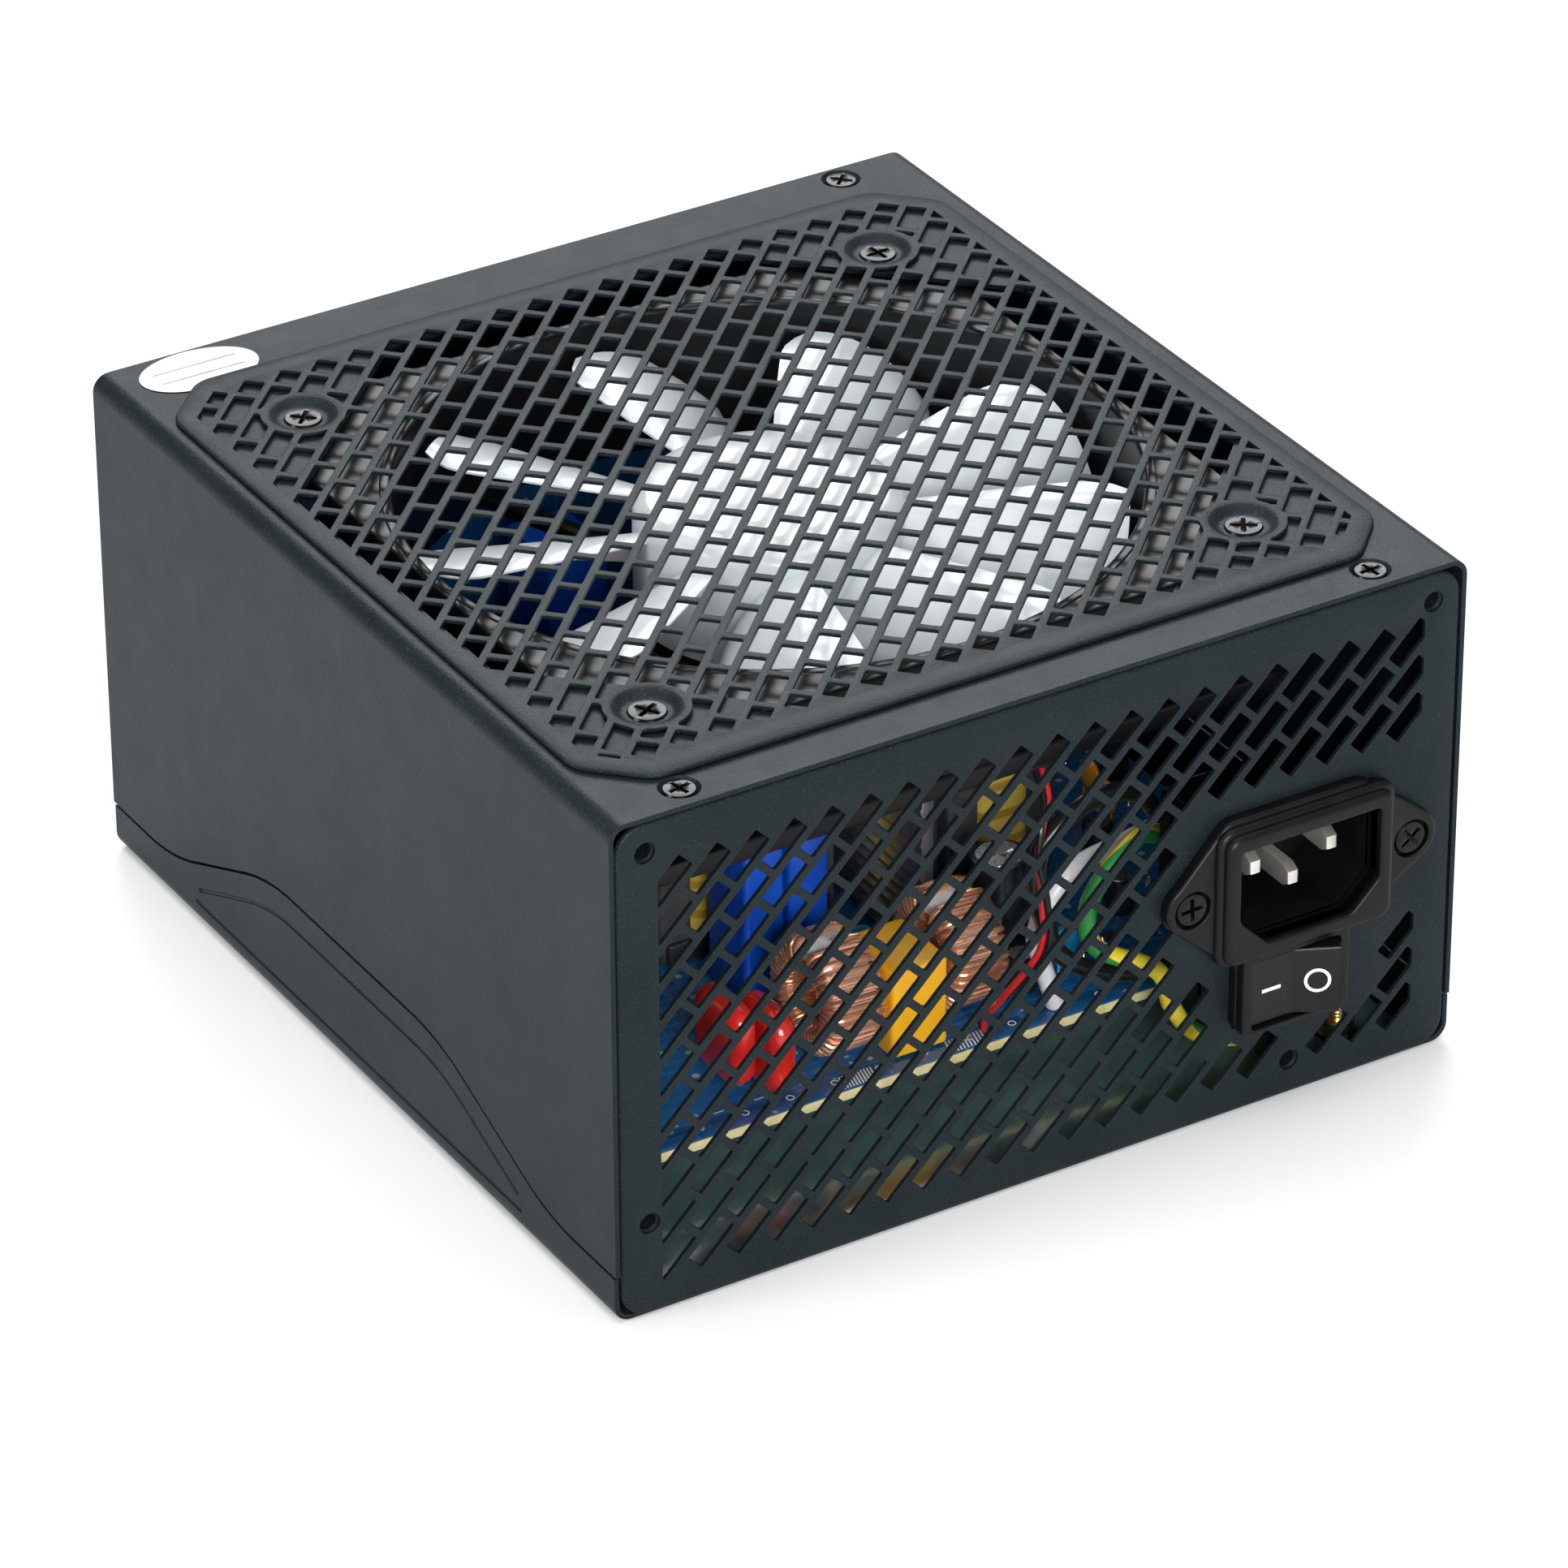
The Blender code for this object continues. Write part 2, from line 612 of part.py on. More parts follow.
def flange_outline():
    """Eye-shaped inlet flange: two round ears on the screws, wide block outlines between them."""
    ear = 4.7
    left = INLET_X - INLET_SCREW_OFFSET
    right = INLET_X + INLET_SCREW_OFFSET
    upper = INLET_Z + 13.2
    return (
        arc(right, INLET_Z, ear, -60, 60, 6)
        + [(INLET_X + 11.0, upper), (INLET_X - 14.0, upper)]
        + arc(left, INLET_Z, ear, 120, 240, 6)
        + [(INLET_X - 14.0, 29.4), (SWITCH_X - 10.0, 28.0)]
        + arc(SWITCH_X - 8.0, SWITCH_Z - 5.1, 2.0, 180, 270, 3)
        + arc(SWITCH_X + 8.0, SWITCH_Z - 5.1, 2.0, 270, 360, 3)
        + [(SWITCH_X + 10.0, 28.0), (INLET_X + 11.0, 29.4)]
    )


def socket_outline():
    """The mains socket's opening: two bottom corners cut off."""
    cut = 5.0
    left = INLET_X - SOCKET_HALF_W
    right = INLET_X + SOCKET_HALF_W
    low = INLET_Z - SOCKET_HALF_H
    high = INLET_Z + SOCKET_HALF_H
    return [(left + cut, low), (right - cut, low), (right, low + cut), (right, high),
            (left, high), (left, low + cut)]


def inlet_pin_places():
    """Name and centre of each blade in the mains socket."""
    side = 7.0
    return (
        ("inlet_pin_live", INLET_X - side, INLET_Z + 2.0),
        ("inlet_pin_neutral", INLET_X + side, INLET_Z + 2.0),
        ("inlet_pin_earth", INLET_X, INLET_Z - 2.0),
    )


def inlet_housing():
    housing = prism("inlet_housing", flange_outline(), FLANGE_FRONT, FLANGE_BACK, "black_plastic", "Y")
    block = rounded(INLET_X - 15.3, INLET_X + 15.3, INLET_Z - 11.5, INLET_Z + 11.5, 2.0, 3)
    combine(housing, prism("tool", block, INLET_FRONT, FLANGE_BACK - 0.5, "black_plastic", "Y"), "UNION")
    frame = rounded(SWITCH_X - 9.8, SWITCH_X + 9.8, SWITCH_Z - 7.0, SWITCH_Z + 7.9, 1.2, 2)
    combine(housing, prism("tool", frame, SWITCH_FRONT, FLANGE_BACK - 0.4, "black_plastic", "Y"), "UNION")
    cup = rectangle(INLET_X - 13.5, INLET_X + 13.5, INLET_Z - 9.7, INLET_Z + 9.7)
    combine(housing, prism("tool", cup, FLANGE_FRONT + 0.5, INLET_BACK, "black_plastic", "Y"), "UNION")
    well = rectangle(SWITCH_X - 8.8, SWITCH_X + 8.8, SWITCH_Z - 6.9, SWITCH_Z + 6.9)
    combine(housing, prism("tool", well, FLANGE_FRONT + 0.6, -69.0, "black_plastic", "Y"), "UNION")
    combine(housing, prism("tool", socket_outline(), -90.0, SOCKET_FLOOR, "black_plastic", "Y"), "DIFFERENCE")
    opening = rectangle(SWITCH_X - OPENING_HALF_W, SWITCH_X + OPENING_HALF_W,
                        SWITCH_Z - OPENING_HALF_H, SWITCH_Z + OPENING_HALF_H)
    combine(housing, prism("tool", opening, -90.0, -71.0, "black_plastic", "Y"), "DIFFERENCE")
    trunnion_space = circle(SWITCH_X, PIVOT_Y, TRUNNION_RADIUS + GAP, 12)
    reach = ROCKER_HALF_H + TRUNNION_LENGTH + GAP
    pivot = prism("tool", trunnion_space, SWITCH_Z - reach, SWITCH_Z + reach, "black_plastic")
    combine(housing, pivot, "DIFFERENCE")
    for _, x, z in inlet_pin_places():
        slot = rectangle(x - 1.3, x + 1.3, z - 2.3, z + 2.3)
        combine(housing, prism("tool", slot, -70.0, -60.0, "black_plastic", "Y"), "DIFFERENCE")
    for side in (-1, 1):
        centre = (INLET_X + side * INLET_SCREW_OFFSET, 0, INLET_Z - 0.2)
        cutter = cone_cutter(INLET_SCREW_HEAD, 1.5, FLANGE_FRONT, 5.0, centre, "Y", outward=-1)
        combine(housing, cutter, "DIFFERENCE")
    return housing


def inlet_pins_and_screws():
    for name, x, z in inlet_pin_places():
        box(name, (x - 1.0, x + 1.0), (-79.5, -57.0), (z - 2.0, z + 2.0), "pin_metal")
    for name, side in (("inlet_screw_left", -1), ("inlet_screw_right", 1)):
        centre = (INLET_X + side * INLET_SCREW_OFFSET, 0, INLET_Z - 0.2)
        countersunk_screw(name, INLET_SCREW_HEAD, 1.5, FLANGE_FRONT, 8.0, centre, "black_screw",
                          "Y", outward=-1)


def rocker():
    """Rocker with a shallow V face and trunnions, origin on its pivot, left side pressed in."""
    angle = radians(ROCKER_HALF_ANGLE)
    lip = ROCKER_VALLEY + ROCKER_HALF_W * tan(angle)
    reach = hypot(ROCKER_HALF_W, lip)
    lip_angle = atan2(lip, ROCKER_HALF_W) * 180 / pi
    inner_angle = 35.0
    outline = (
        arc(0, 0, reach, -lip_angle, inner_angle, 5)
        + arc(0, 0, reach, 180 - inner_angle, 180 + lip_angle, 5)
        + [(0, -ROCKER_VALLEY)]
    )
    body = prism("rocker", outline, -ROCKER_HALF_H, ROCKER_HALF_H, "black_plastic")
    reach_up = ROCKER_HALF_H + TRUNNION_LENGTH
    trunnion = prism("tool", circle(0, 0.3, TRUNNION_RADIUS, 12), -reach_up, reach_up, "black_plastic")
    combine(body, trunnion, "UNION")
    body.data.transform(Matrix.Rotation(-angle, 4, "Z"))
    body.location = Vector((SWITCH_X, PIVOT_Y, SWITCH_Z)) * MM
    return body


def fan_frame():
    half = FAN_SIZE / 2
    ring_outer = circle(FAN_X, FAN_Y, half - 0.3, RING_STEPS)
    ring_inner = circle(FAN_X, FAN_Y, FAN_DUCT, RING_STEPS)
    frame = prism("fan_frame", ring_outer, FAN_BOTTOM, FAN_TOP, "fan_black", holes=[ring_inner],
                  smooth_angle=30)
    square = rounded(FAN_X - half, FAN_X + half, FAN_Y - half, FAN_Y + half, 7.0, 3)
    holes = [circle(FAN_X, FAN_Y, half - 1.2, RING_STEPS)]
    holes += [circle(x, y, FAN_SCREW_SHANK + GAP, 8) for x, y in fan_screw_places()]
    for low in (FAN_BOTTOM + 0.2, FAN_TOP - 3.6):
        combine(frame, prism("tool", square, low, low + 3.4, "fan_black", holes=holes), "UNION")
    seat = turned("tool", [(0, FAN_BOTTOM + 0.3), (21.0, FAN_BOTTOM + 0.3), (21.0, FAN_BOTTOM + 1.8),
                           (0, FAN_BOTTOM + 1.8)], (FAN_X, FAN_Y, 0), "fan_black", steps=24)
    combine(frame, seat, "UNION")
    for quarter in range(4):
        strut = box("tool", (18.0, half - 1.0), (-1.6, 1.6), (FAN_BOTTOM + 0.5, FAN_BOTTOM + 2.5),
                    "fan_black")
        strut.data.transform(Matrix.Rotation(radians(20 + 90 * quarter), 4, "Z"))
        strut.data.transform(Matrix.Translation(Vector((FAN_X, FAN_Y, 0)) * MM))
        combine(frame, strut, "UNION")
    return frame


def blade(angle):
    """One fan blade as a thin twisted sheet from the hub to the tip, leading edge at the top."""
    stations, chords, half_thick = 4, 2, 0.7
    points, faces = [], []
    for side in (half_thick, -half_thick):
        for i in range(stations + 1):
            share = i / stations
            radius = HUB_RADIUS - 1.0 + (BLADE_TIP - HUB_RADIUS + 1.0) * share
            sweep = radians(angle - share * share)
            span = radians(34.0 - 7.0 * share)
            top = HUB_TOP - 4.0 + 1.6 * share
            for j in range(chords + 1):
                chord = j / chords
                turn = sweep - span * chord
                height = top - BLADE_DROP * chord ** 2.2
                points.append((radius * cos(turn), radius * sin(turn), height + side))
    row = chords + 1
    sheet = (stations + 1) * row
    for i in range(stations):
        for j in range(chords):
            a = i * row + j
            faces.append((a, a + 1, a + row + 1, a + row))
            faces.append((a + sheet, a + row + sheet, a + row + 1 + sheet, a + 1 + sheet))
    rim = [j for j in range(row)]
    rim += [i * row + chords for i in range(1, stations + 1)]
    rim += [stations * row + j for j in range(chords - 1, -1, -1)]
    rim += [i * row for i in range(stations - 1, 0, -1)]
    for a, b in zip(rim, rim[1:] + rim[:1]):
        faces.append((a, b, b + sheet, a + sheet))
    return make_object("tool", points, faces, "fan_white")


def fan_impeller():
    """Cup-shaped hub with nine blades, origin on the fan's axis."""
    low = FAN_BOTTOM + 3.0
    hub = [(0, HUB_TOP), (HUB_RADIUS - 1.5, HUB_TOP), (HUB_RADIUS, HUB_TOP - 1.5), (HUB_RADIUS, low),
           (HUB_RADIUS - 1.7, low), (HUB_RADIUS - 1.7, HUB_TOP - 1.7), (3.6, HUB_TOP - 1.7),
           (3.6, HUB_TOP - 6.0), (1.8, HUB_TOP - 6.0), (1.8, HUB_TOP - 1.9), (0, HUB_TOP - 1.9)]
    impeller = turned("fan_impeller", hub, (0, 0, 0), "fan_white", steps=24, smooth_angle=30)
    for index in range(BLADE_COUNT):
        combine(impeller, blade(BLADE_LEADING_ANGLE + 360 * index / BLADE_COUNT), "UNION")
    impeller.location = Vector((FAN_X, FAN_Y, 0)) * MM
    return impeller


def fan_motor():
    centre = (FAN_X, FAN_Y, 0)
    low = FAN_BOTTOM + 2.1
    stator = [(1.9, low), (17.0, low), (17.0, low + 2.0), (12.0, low + 3.0), (12.0, low + 10.0),
              (17.0, low + 11.0), (17.0, low + 13.0), (1.9, low + 13.0)]
    turned("fan_stator", stator, centre, "copper", steps=16)
    shaft = [(0, low + 0.4), (1.5, low + 0.4), (1.5, HUB_TOP - 2.2), (0, HUB_TOP - 2.2)]
    turned("fan_shaft", shaft, centre, "steel", steps=12)


def circuit_board():
    holes = [circle(side * POST_X, y, 1.6, 10) for side in (-1, 1) for y in (POST_REAR_Y, POST_FRONT_Y)]
    outline = rectangle(-BOARD_HALF_W, BOARD_HALF_W, BOARD_REAR_Y, BOARD_FRONT_Y)
    prism("circuit_board", outline, BOARD_BOTTOM, BOARD_TOP, "board_blue", holes=holes)
    standing = [(side * POST_X, y) for side in (-1, 1) for y in (POST_REAR_Y, POST_FRONT_Y)]
    standing.append((EARTH_SCREW_X, EARTH_SCREW_Y))
    sheet_holes = [circle(x, y, FILM_HOLE_RADIUS, 10) for x, y in standing]
    sheet = rectangle(-BOARD_HALF_W, BOARD_HALF_W, FILM_REAR_Y, FILM_FRONT_Y)
    film_bottom = SHEET + GAP
    prism("insulating_sheet", sheet, film_bottom, film_bottom + FILM_THICKNESS, "clear_film",
          holes=sheet_holes)
    index = 0
    for y in (POST_REAR_Y, POST_FRONT_Y):
        for side in (-1, 1):
            index += 1
            prism(f"board_post_{index}", circle(side * POST_X, y, 2.9, 6), film_bottom, BOARD_BOTTOM - GAP,
                  "brass")
    earth = [(0, film_bottom), (3.0, film_bottom), (3.0, 4.4), (1.6, 4.4), (1.6, 9.4), (0, 9.4)]
    turned("earth_screw", earth, (EARTH_SCREW_X, EARTH_SCREW_Y, 0), "brass", steps=12)
    film = rectangle(-57.0, 8.0, -59.5, -24.0)
    prism("air_baffle", film, FAN_BOTTOM - 0.6, FAN_BOTTOM - GAP, "clear_film")


def mains_filter():
    """The parts nearest the mains end of the board."""
    for name, x, y, z in FILM_CAPACITORS:
        outline = rounded(y, y + FILM_CAPACITOR_LENGTH, z, z + FILM_CAPACITOR_HEIGHT, 3.2, 4)
        prism(name, outline, x, x + FILM_CAPACITOR_THICKNESS, "red_epoxy", "X")
    box("x_capacitor", X_CAPACITOR_X, X_CAPACITOR_Y, (SEAT, X_CAPACITOR_TOP), "yellow_plastic")
    for name, x, y in CHOKES:
        toroid(name, (x, y, SEAT + CHOKE_RADIUS + 0.1), CHOKE_RADIUS, CHOKE_HOLE_RADIUS, CHOKE_WIDTH,
               "copper", "X")
    for name, x in BOX_CAPACITORS_X:
        box(name, (x - BOX_CAPACITOR_HALF_W, x + BOX_CAPACITOR_HALF_W), BOX_CAPACITOR_Y,
            (SEAT, BOX_CAPACITOR_TOP), "blue_plastic")
    for name, x, y, radius, height in CANS:
        capacitor(name, x, y, radius, height)


def toroid(name, centre, outer, inner, width, finish, axis):
    """A wound ring with rounded edges."""
    soft = 2.0
    half = width / 2
    profile = [(inner, -half + soft), (inner + soft, -half), (outer - soft, -half), (outer, -half + soft),
               (outer, half - soft), (outer - soft, half), (inner + soft, half), (inner, half - soft)]
    return turned(name, profile, centre, finish, axis, steps=16, smooth_angle=50)


def capacitor(name, x, y, radius, height):
    """A can with a bevelled top edge."""
    top = SEAT + height
    profile = [(0, SEAT), (radius, SEAT), (radius, top - 0.8), (radius - 0.8, top), (0, top)]
    return turned(name, profile, (x, y, 0), "capacitor_sleeve", steps=16)


def power_stage():
    """Heatsinks, transformers and output parts."""
    heatsink("primary_heatsink", PRIMARY_SINK_X[0], PRIMARY_SINK_X[1], PRIMARY_SINK_TOP, PRIMARY_SINK_Y, "Y")
    box("bridge_rectifier", (10.8, 14.6), (-27.0, -7.0), (15.0, 36.0), "chip_black")
    transformer("main_transformer", (-27.0, 5.0), (-12.0, 22.0), 46.0)
    transformer("standby_transformer", (22.0, 42.0), (-18.0, 2.0), 34.0)
    heatsink("secondary_heatsink", SECONDARY_SINK_Y[1], SECONDARY_SINK_Y[0], SECONDARY_SINK_TOP,
             SECONDARY_SINK_X, "X")
    toroid("output_choke", (-46.0, 8.0, SEAT + 6.0), 13.5, 6.5, 12.0, "copper", "Z")
    box("inductor_box", (-14.0, -3.0), (44.0, 58.0), (SEAT, 52.0), "blue_plastic")


def heatsink(name, back, flange_edge, top, length, axis):
    """An upright plate against its back line, with a flange along the top that points to one side."""
    side = 1 if flange_edge > back else -1
    face = back + side * HEATSINK_SHEET
    low = SEAT + 0.7
    under = top - HEATSINK_SHEET
    outline = [(back, low), (face, low), (face, under), (flange_edge, under), (flange_edge, top), (back, top)]
    return prism(name, outline, length[0], length[1], "aluminium", axis)


def transformer(name, x, y, top):
    """A ferrite core block with a wider wound middle, as one solid."""
    core = box(name, x, y, (SEAT, top), "ferrite")
    bulge = 1.5
    inset = 5.0
    low = SEAT + 4.0
    winding = box("tool", (x[0] + inset, x[1] - inset), (y[0] - bulge, y[1] + bulge), (low, top - 4.0),
                  "ferrite")
    core.data.materials[0] = finish_of("tape_yellow")
    return combine(core, winding, "UNION")


def output_end():
    """Upright output board and the sockets that reach through the front wall."""
    board = rectangle(-56.0, 60.0, 14.0, 74.0)
    prism("output_board", board, SOCKET_BACK - 2.0, SOCKET_BACK - GAP, "board_blue", "Y")
    front = HALF_D + SOCKET_PROUD
    for name, x, z, width, height in OUTPUT_SOCKETS:
        outline = rectangle(x - width / 2, x + width / 2, z - height / 2, z + height / 2)
        prism(name, outline, SOCKET_BACK, front, "black_plastic", "Y")


def leads():
    tube("live_lead", LIVE_ROUTE, MAINS_WIRE_RADIUS, "wire_black")
    tube("neutral_lead", NEUTRAL_ROUTE, MAINS_WIRE_RADIUS, "wire_white")
    tube("earth_lead", EARTH_ROUTE, MAINS_WIRE_RADIUS, "wire_green")
    tube("fan_lead", FAN_ROUTE, FAN_LEAD_RADIUS, "wire_red")


clear_scene()
bottom_tray()
top_cover()
fan_grille()
case_screws()
seal_sticker()
inlet_housing()
inlet_pins_and_screws()
rocker()
fan_frame()
fan_impeller()
fan_motor()
circuit_board()
mains_filter()
power_stage()
output_end()
leads()
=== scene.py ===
"""Looks of a computer power supply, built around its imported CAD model.

Lengths are in millimetres and turned into metres where a mesh is made. +Z is up through the fan
grille, and -Y is out of the mains end.
"""

import random
from math import atan2, ceil, cos, hypot, pi, radians, sin, sqrt, tan

import bmesh
import bpy
from mathutils import Matrix, Vector
from mathutils.geometry import delaunay_2d_cdt


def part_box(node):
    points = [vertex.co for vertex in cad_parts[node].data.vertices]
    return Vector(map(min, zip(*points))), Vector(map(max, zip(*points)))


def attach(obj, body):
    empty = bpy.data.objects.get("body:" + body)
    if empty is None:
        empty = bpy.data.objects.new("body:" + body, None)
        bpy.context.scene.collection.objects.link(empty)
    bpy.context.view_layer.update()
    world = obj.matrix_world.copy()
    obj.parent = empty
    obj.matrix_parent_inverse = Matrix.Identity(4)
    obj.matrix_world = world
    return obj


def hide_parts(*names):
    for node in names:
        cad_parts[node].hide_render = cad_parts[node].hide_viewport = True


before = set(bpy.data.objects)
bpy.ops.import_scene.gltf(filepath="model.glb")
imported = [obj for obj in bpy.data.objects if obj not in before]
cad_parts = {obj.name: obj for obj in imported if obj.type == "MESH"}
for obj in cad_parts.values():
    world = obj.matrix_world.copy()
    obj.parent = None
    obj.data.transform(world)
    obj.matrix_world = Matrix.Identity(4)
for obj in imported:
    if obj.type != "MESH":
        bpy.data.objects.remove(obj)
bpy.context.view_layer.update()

MM = 0.001


def span(node):
    """A CAD node's extent in millimetres, as (low, high) for X, Y and Z."""
    low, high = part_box(node)
    return [(a / MM, b / MM) for a, b in zip(low, high)]


def middle(pair):
    return (pair[0] + pair[1]) / 2


def upright(node):
    """The middle of a CAD node in plan, at height 0."""
    x, y, _ = span(node)
    return middle(x), middle(y), 0


def grown(pair, room):
    """An extent made longer by some room at both ends."""
    return pair[0] - room, pair[1] + room


# Case, from the frame
CASE_X, CASE_Y, COVER_Z = span("top_cover")
TRAY_Z = span("bottom_tray")[2]
GRILLE_X, GRILLE_Y, GRILLE_Z = span("fan_grille")
HALF_W = CASE_X[1]
HALF_D = CASE_Y[1]
SHEET = 0.8
BEND = 2.8
WALL_GAP = 0.3
WALL_HALF_W = HALF_W - SHEET - WALL_GAP
WALL_CORNER = 4.5
FAN_X = middle(GRILLE_X)
FAN_Y = middle(GRILLE_Y)
FAN_Z = span("fan_frame")[2]
FAN_SCREW_HALF = 52.5
HUB_RADIUS = 21.0
BLADE_TIP = 55.6
BLADE_COUNT = 9
BLADE_LEADING_ANGLE = 97.0
BLADE_DROP = 10.0
FAN_DUCT = 57.8
GRILLE_HALF = (GRILLE_X[1] - GRILLE_X[0]) / 2
GRILLE_CHAMFER = 8.8
WINDOW_HALF = 66.0
WINDOW_CHAMFER = 36.0

# Seam between tray and cover: low at the ends, high in the middle, with smooth turns
SEAM_GAP = 0.5
SEAM_LOW = 8.1
SEAM_HIGH = 21.6
SEAM_RAMP_START = 27.0
SEAM_RAMP_END = 60.0
SEAM_SOFTNESS = 7.0

# Brick-shaped slots on a square lattice, lying at 45 degrees
LATTICE = 6.5
BRICK_LENGTH = 7.9
BRICK_WIDTH = 3.35
BRICK_CORNER = 0.3
REAR_PHASE = (0.007, 2.566)
REAR_CLIP_X = (-66.9, 67.6)
REAR_FIRST_COLUMN = -10
REAR_FULL_COLUMN = 10
REAR_LAST_COLUMN = {1: 6, 2: 4, 3: 4, 4: 3, 5: 3, 6: 2, 7: 3, 8: 3, 9: 10, 10: 10, 11: 10}
REAR_EXTRA_COLUMNS = {1: (8, 9, 10), 2: (10,), 3: (10,)}
TOP_PHASE = (4.51, 0.48)
TOP_CLIP = 67.2
TOP_CHAMFER_SUM = 127.0
TOP_LIMIT = 67.0
MIN_SLOT_AREA = {"rear": 1.5, "top": 2.0}
DISH_RADIUS = 5.8
DISH_DEPTH = 1.1

# Mains inlet and switch
INLET_X = 45.1
INLET_Z = 40.8
INLET_SCREW_OFFSET = 20.0
FLANGE_FRONT = 82.1
FLANGE_BACK = 80.3
INLET_FRONT = 84.4
SWITCH_FRONT = 83.8
SWITCH_X = 43.3
SWITCH_Z = 22.6
OPENING_HALF_W = 8.05
OPENING_HALF_H = 6.15
SOCKET_HALF_W = 12.7
SOCKET_HALF_H = 8.65
PIVOT_Y = -81.9
ROCKER_ANGLE = 13.0
ROCKER_HALF_W = 7.19
ROCKER_VALLEY = 1.2
ROCKER_HALF_H = 5.85
PANEL_HOLES = ((-69.0, 80.0), (69.0, 80.0), (-69.0, 16.0), (45.0, 6.0))
PANEL_HOLE_RADIUS = 1.75
PINS = ("inlet_pin_live", "inlet_pin_neutral", "inlet_pin_earth")
OUTPUT_SOCKETS = ("mainboard_socket", "power_socket_1", "power_socket_2", "power_socket_3", "power_socket_4")

# Board
BOARD_X, BOARD_Y, BOARD_Z = span("circuit_board")
PRINT_HEIGHT = 0.03

# Leads inside the case, point by point from the mains end or the fan
LIVE_ROUTE = ((36.4, -58.8, 42.8), (34.0, -58.9, 43.0), (31.0, -59.6, 47.0), (26.0, -60.5, 50.3),
              (19.0, -61.0, 50.5), (12.0, -61.0, 46.0), (10.3, -61.2, 40.0), (11.5, -61.5, 33.0),
              (15.0, -61.5, 25.0), (23.0, -61.5, 19.5), (32.0, -61.5, 17.0), (39.0, -62.5, 17.5),
              (43.0, -65.0, 20.0), (43.3, -68.5, 21.0))
NEUTRAL_ROUTE = ((50.4, -58.8, 42.8), (48.0, -58.4, 43.4), (44.0, -55.2, 43.2), (38.5, -54.6, 38.5),
                 (30.0, -55.0, 37.0), (22.0, -55.5, 36.0), (16.5, -56.0, 32.0), (14.5, -55.0, 25.4),
                 (16.6, -54.0, 18.6), (19.2, -53.4, 10.6))
EARTH_ROUTE = ((43.6, -58.8, 38.8), (39.0, -59.4, 38.2), (33.5, -60.2, 40.0), (29.3, -61.6, 42.2),
               (25.0, -64.0, 42.4), (20.8, -65.0, 40.0), (17.4, -65.0, 34.5), (19.0, -65.0, 27.0),
               (29.5, -66.2, 20.0), (32.0, -67.0, 13.0), (36.0, -68.0, 7.5), (43.0, -69.0, 5.0),
               (55.0, -71.0, 3.4))
FAN_ROUTE = ((11.0, -60.5, 58.9), (10.5, -63.5, 55.5), (8.5, -65.5, 52.0), (7.6, -66.0, 47.0),
             (8.5, -66.5, 40.0), (8.5, -66.5, 31.0), (6.0, -60.0, 20.0), (6.0, -54.5, 13.5),
             (6.0, -53.5, 10.5))
MAINS_LEAD_RADIUS = 1.5
FAN_STRAND_RADIUS = 0.55
FAN_STRAND_TWIST = 0.09

# Camera and studio
CAMERA_PLACE = (-0.59179, -0.98145, 0.71908)
CAMERA_TOWARDS = (0.44390, 0.73264, -0.51594)
CAMERA_ROLL = -0.25
CAMERA_LENS = 195.6
SENSOR = 36.0
WORLD_STRENGTH = 0.35
LIGHT_AIM = (0, 0, 0.05)
FLOOR_REACH = 12.0
FLOOR_DROP = 0.0002

# Softboxes: name, place and size in metres, power
LIGHTS = (
    ("top_light", (0.0, 0.1, 1.6), (1.6, 1.6), 22.0),
    ("back_light", (0.65, 1.1, 0.95), (1.0, 0.6), 14.0),
    ("left_light", (-1.3, 0.1, 0.6), (0.5, 0.9), 12.5),
    ("front_light", (-0.35, -1.3, 0.55), (0.7, 0.5), 26.0),
)

random.seed(7)


# ---------------------------------------------------------------- outlines

def arc(cu, cv, radius, start, end, steps):
    """Points on an arc, angles in degrees, both ends included."""
    turns = [radians(start + (end - start) * i / steps) for i in range(steps + 1)]
    return [(cu + radius * cos(t), cv + radius * sin(t)) for t in turns]


def circle(cu, cv, radius, steps=48):
    return arc(cu, cv, radius, 0, 360, steps)[:-1]


def rounded(u0, u1, v0, v1, radius, steps=6):
    """A rectangle with four round corners."""
    return (
        arc(u1 - radius, v1 - radius, radius, 0, 90, steps)
        + arc(u0 + radius, v1 - radius, radius, 90, 180, steps)
        + arc(u0 + radius, v0 + radius, radius, 180, 270, steps)
        + arc(u1 - radius, v0 + radius, radius, 270, 360, steps)
    )


def round_box(cu, cv, half_w, down, up, radius, steps=6):
    """A rounded rectangle given by its reach from a centre: to both sides, down and up."""
    return rounded(cu - half_w, cu + half_w, cv - down, cv + up, radius, steps)


def chamfered_square(half, chamfer):
    """A square with cut corners, centred on the fan."""
    near = half - chamfer
    corners = [(half, near), (near, half), (-near, half), (-half, near)]
    corners += [(-u, -v) for u, v in corners]
    return [(FAN_X + u, FAN_Y + v) for u, v in corners]


def round_corners(points, radius, steps=5):
    """The outline with each corner replaced by an arc that touches both of its sides."""
    outline = []
    for before, corner, after in zip(points[-1:] + points[:-1], points, points[1:] + points[:1]):
        at = Vector(corner)
        towards = (Vector(before) - at, Vector(after) - at)
        cut = min(radius, 0.45 * towards[0].length, 0.45 * towards[1].length)
        start = at + towards[0].normalized() * cut
        end = at + towards[1].normalized() * cut
        for i in range(steps + 1):
            t = i / steps
            outline.append(tuple(start * (1 - t) ** 2 + at * 2 * t * (1 - t) + end * t * t))
    return outline


def area(loop):
    """Signed area, positive for a counter-clockwise loop."""
    return sum(a[0] * b[1] - b[0] * a[1] for a, b in zip(loop, loop[1:] + loop[:1])) / 2


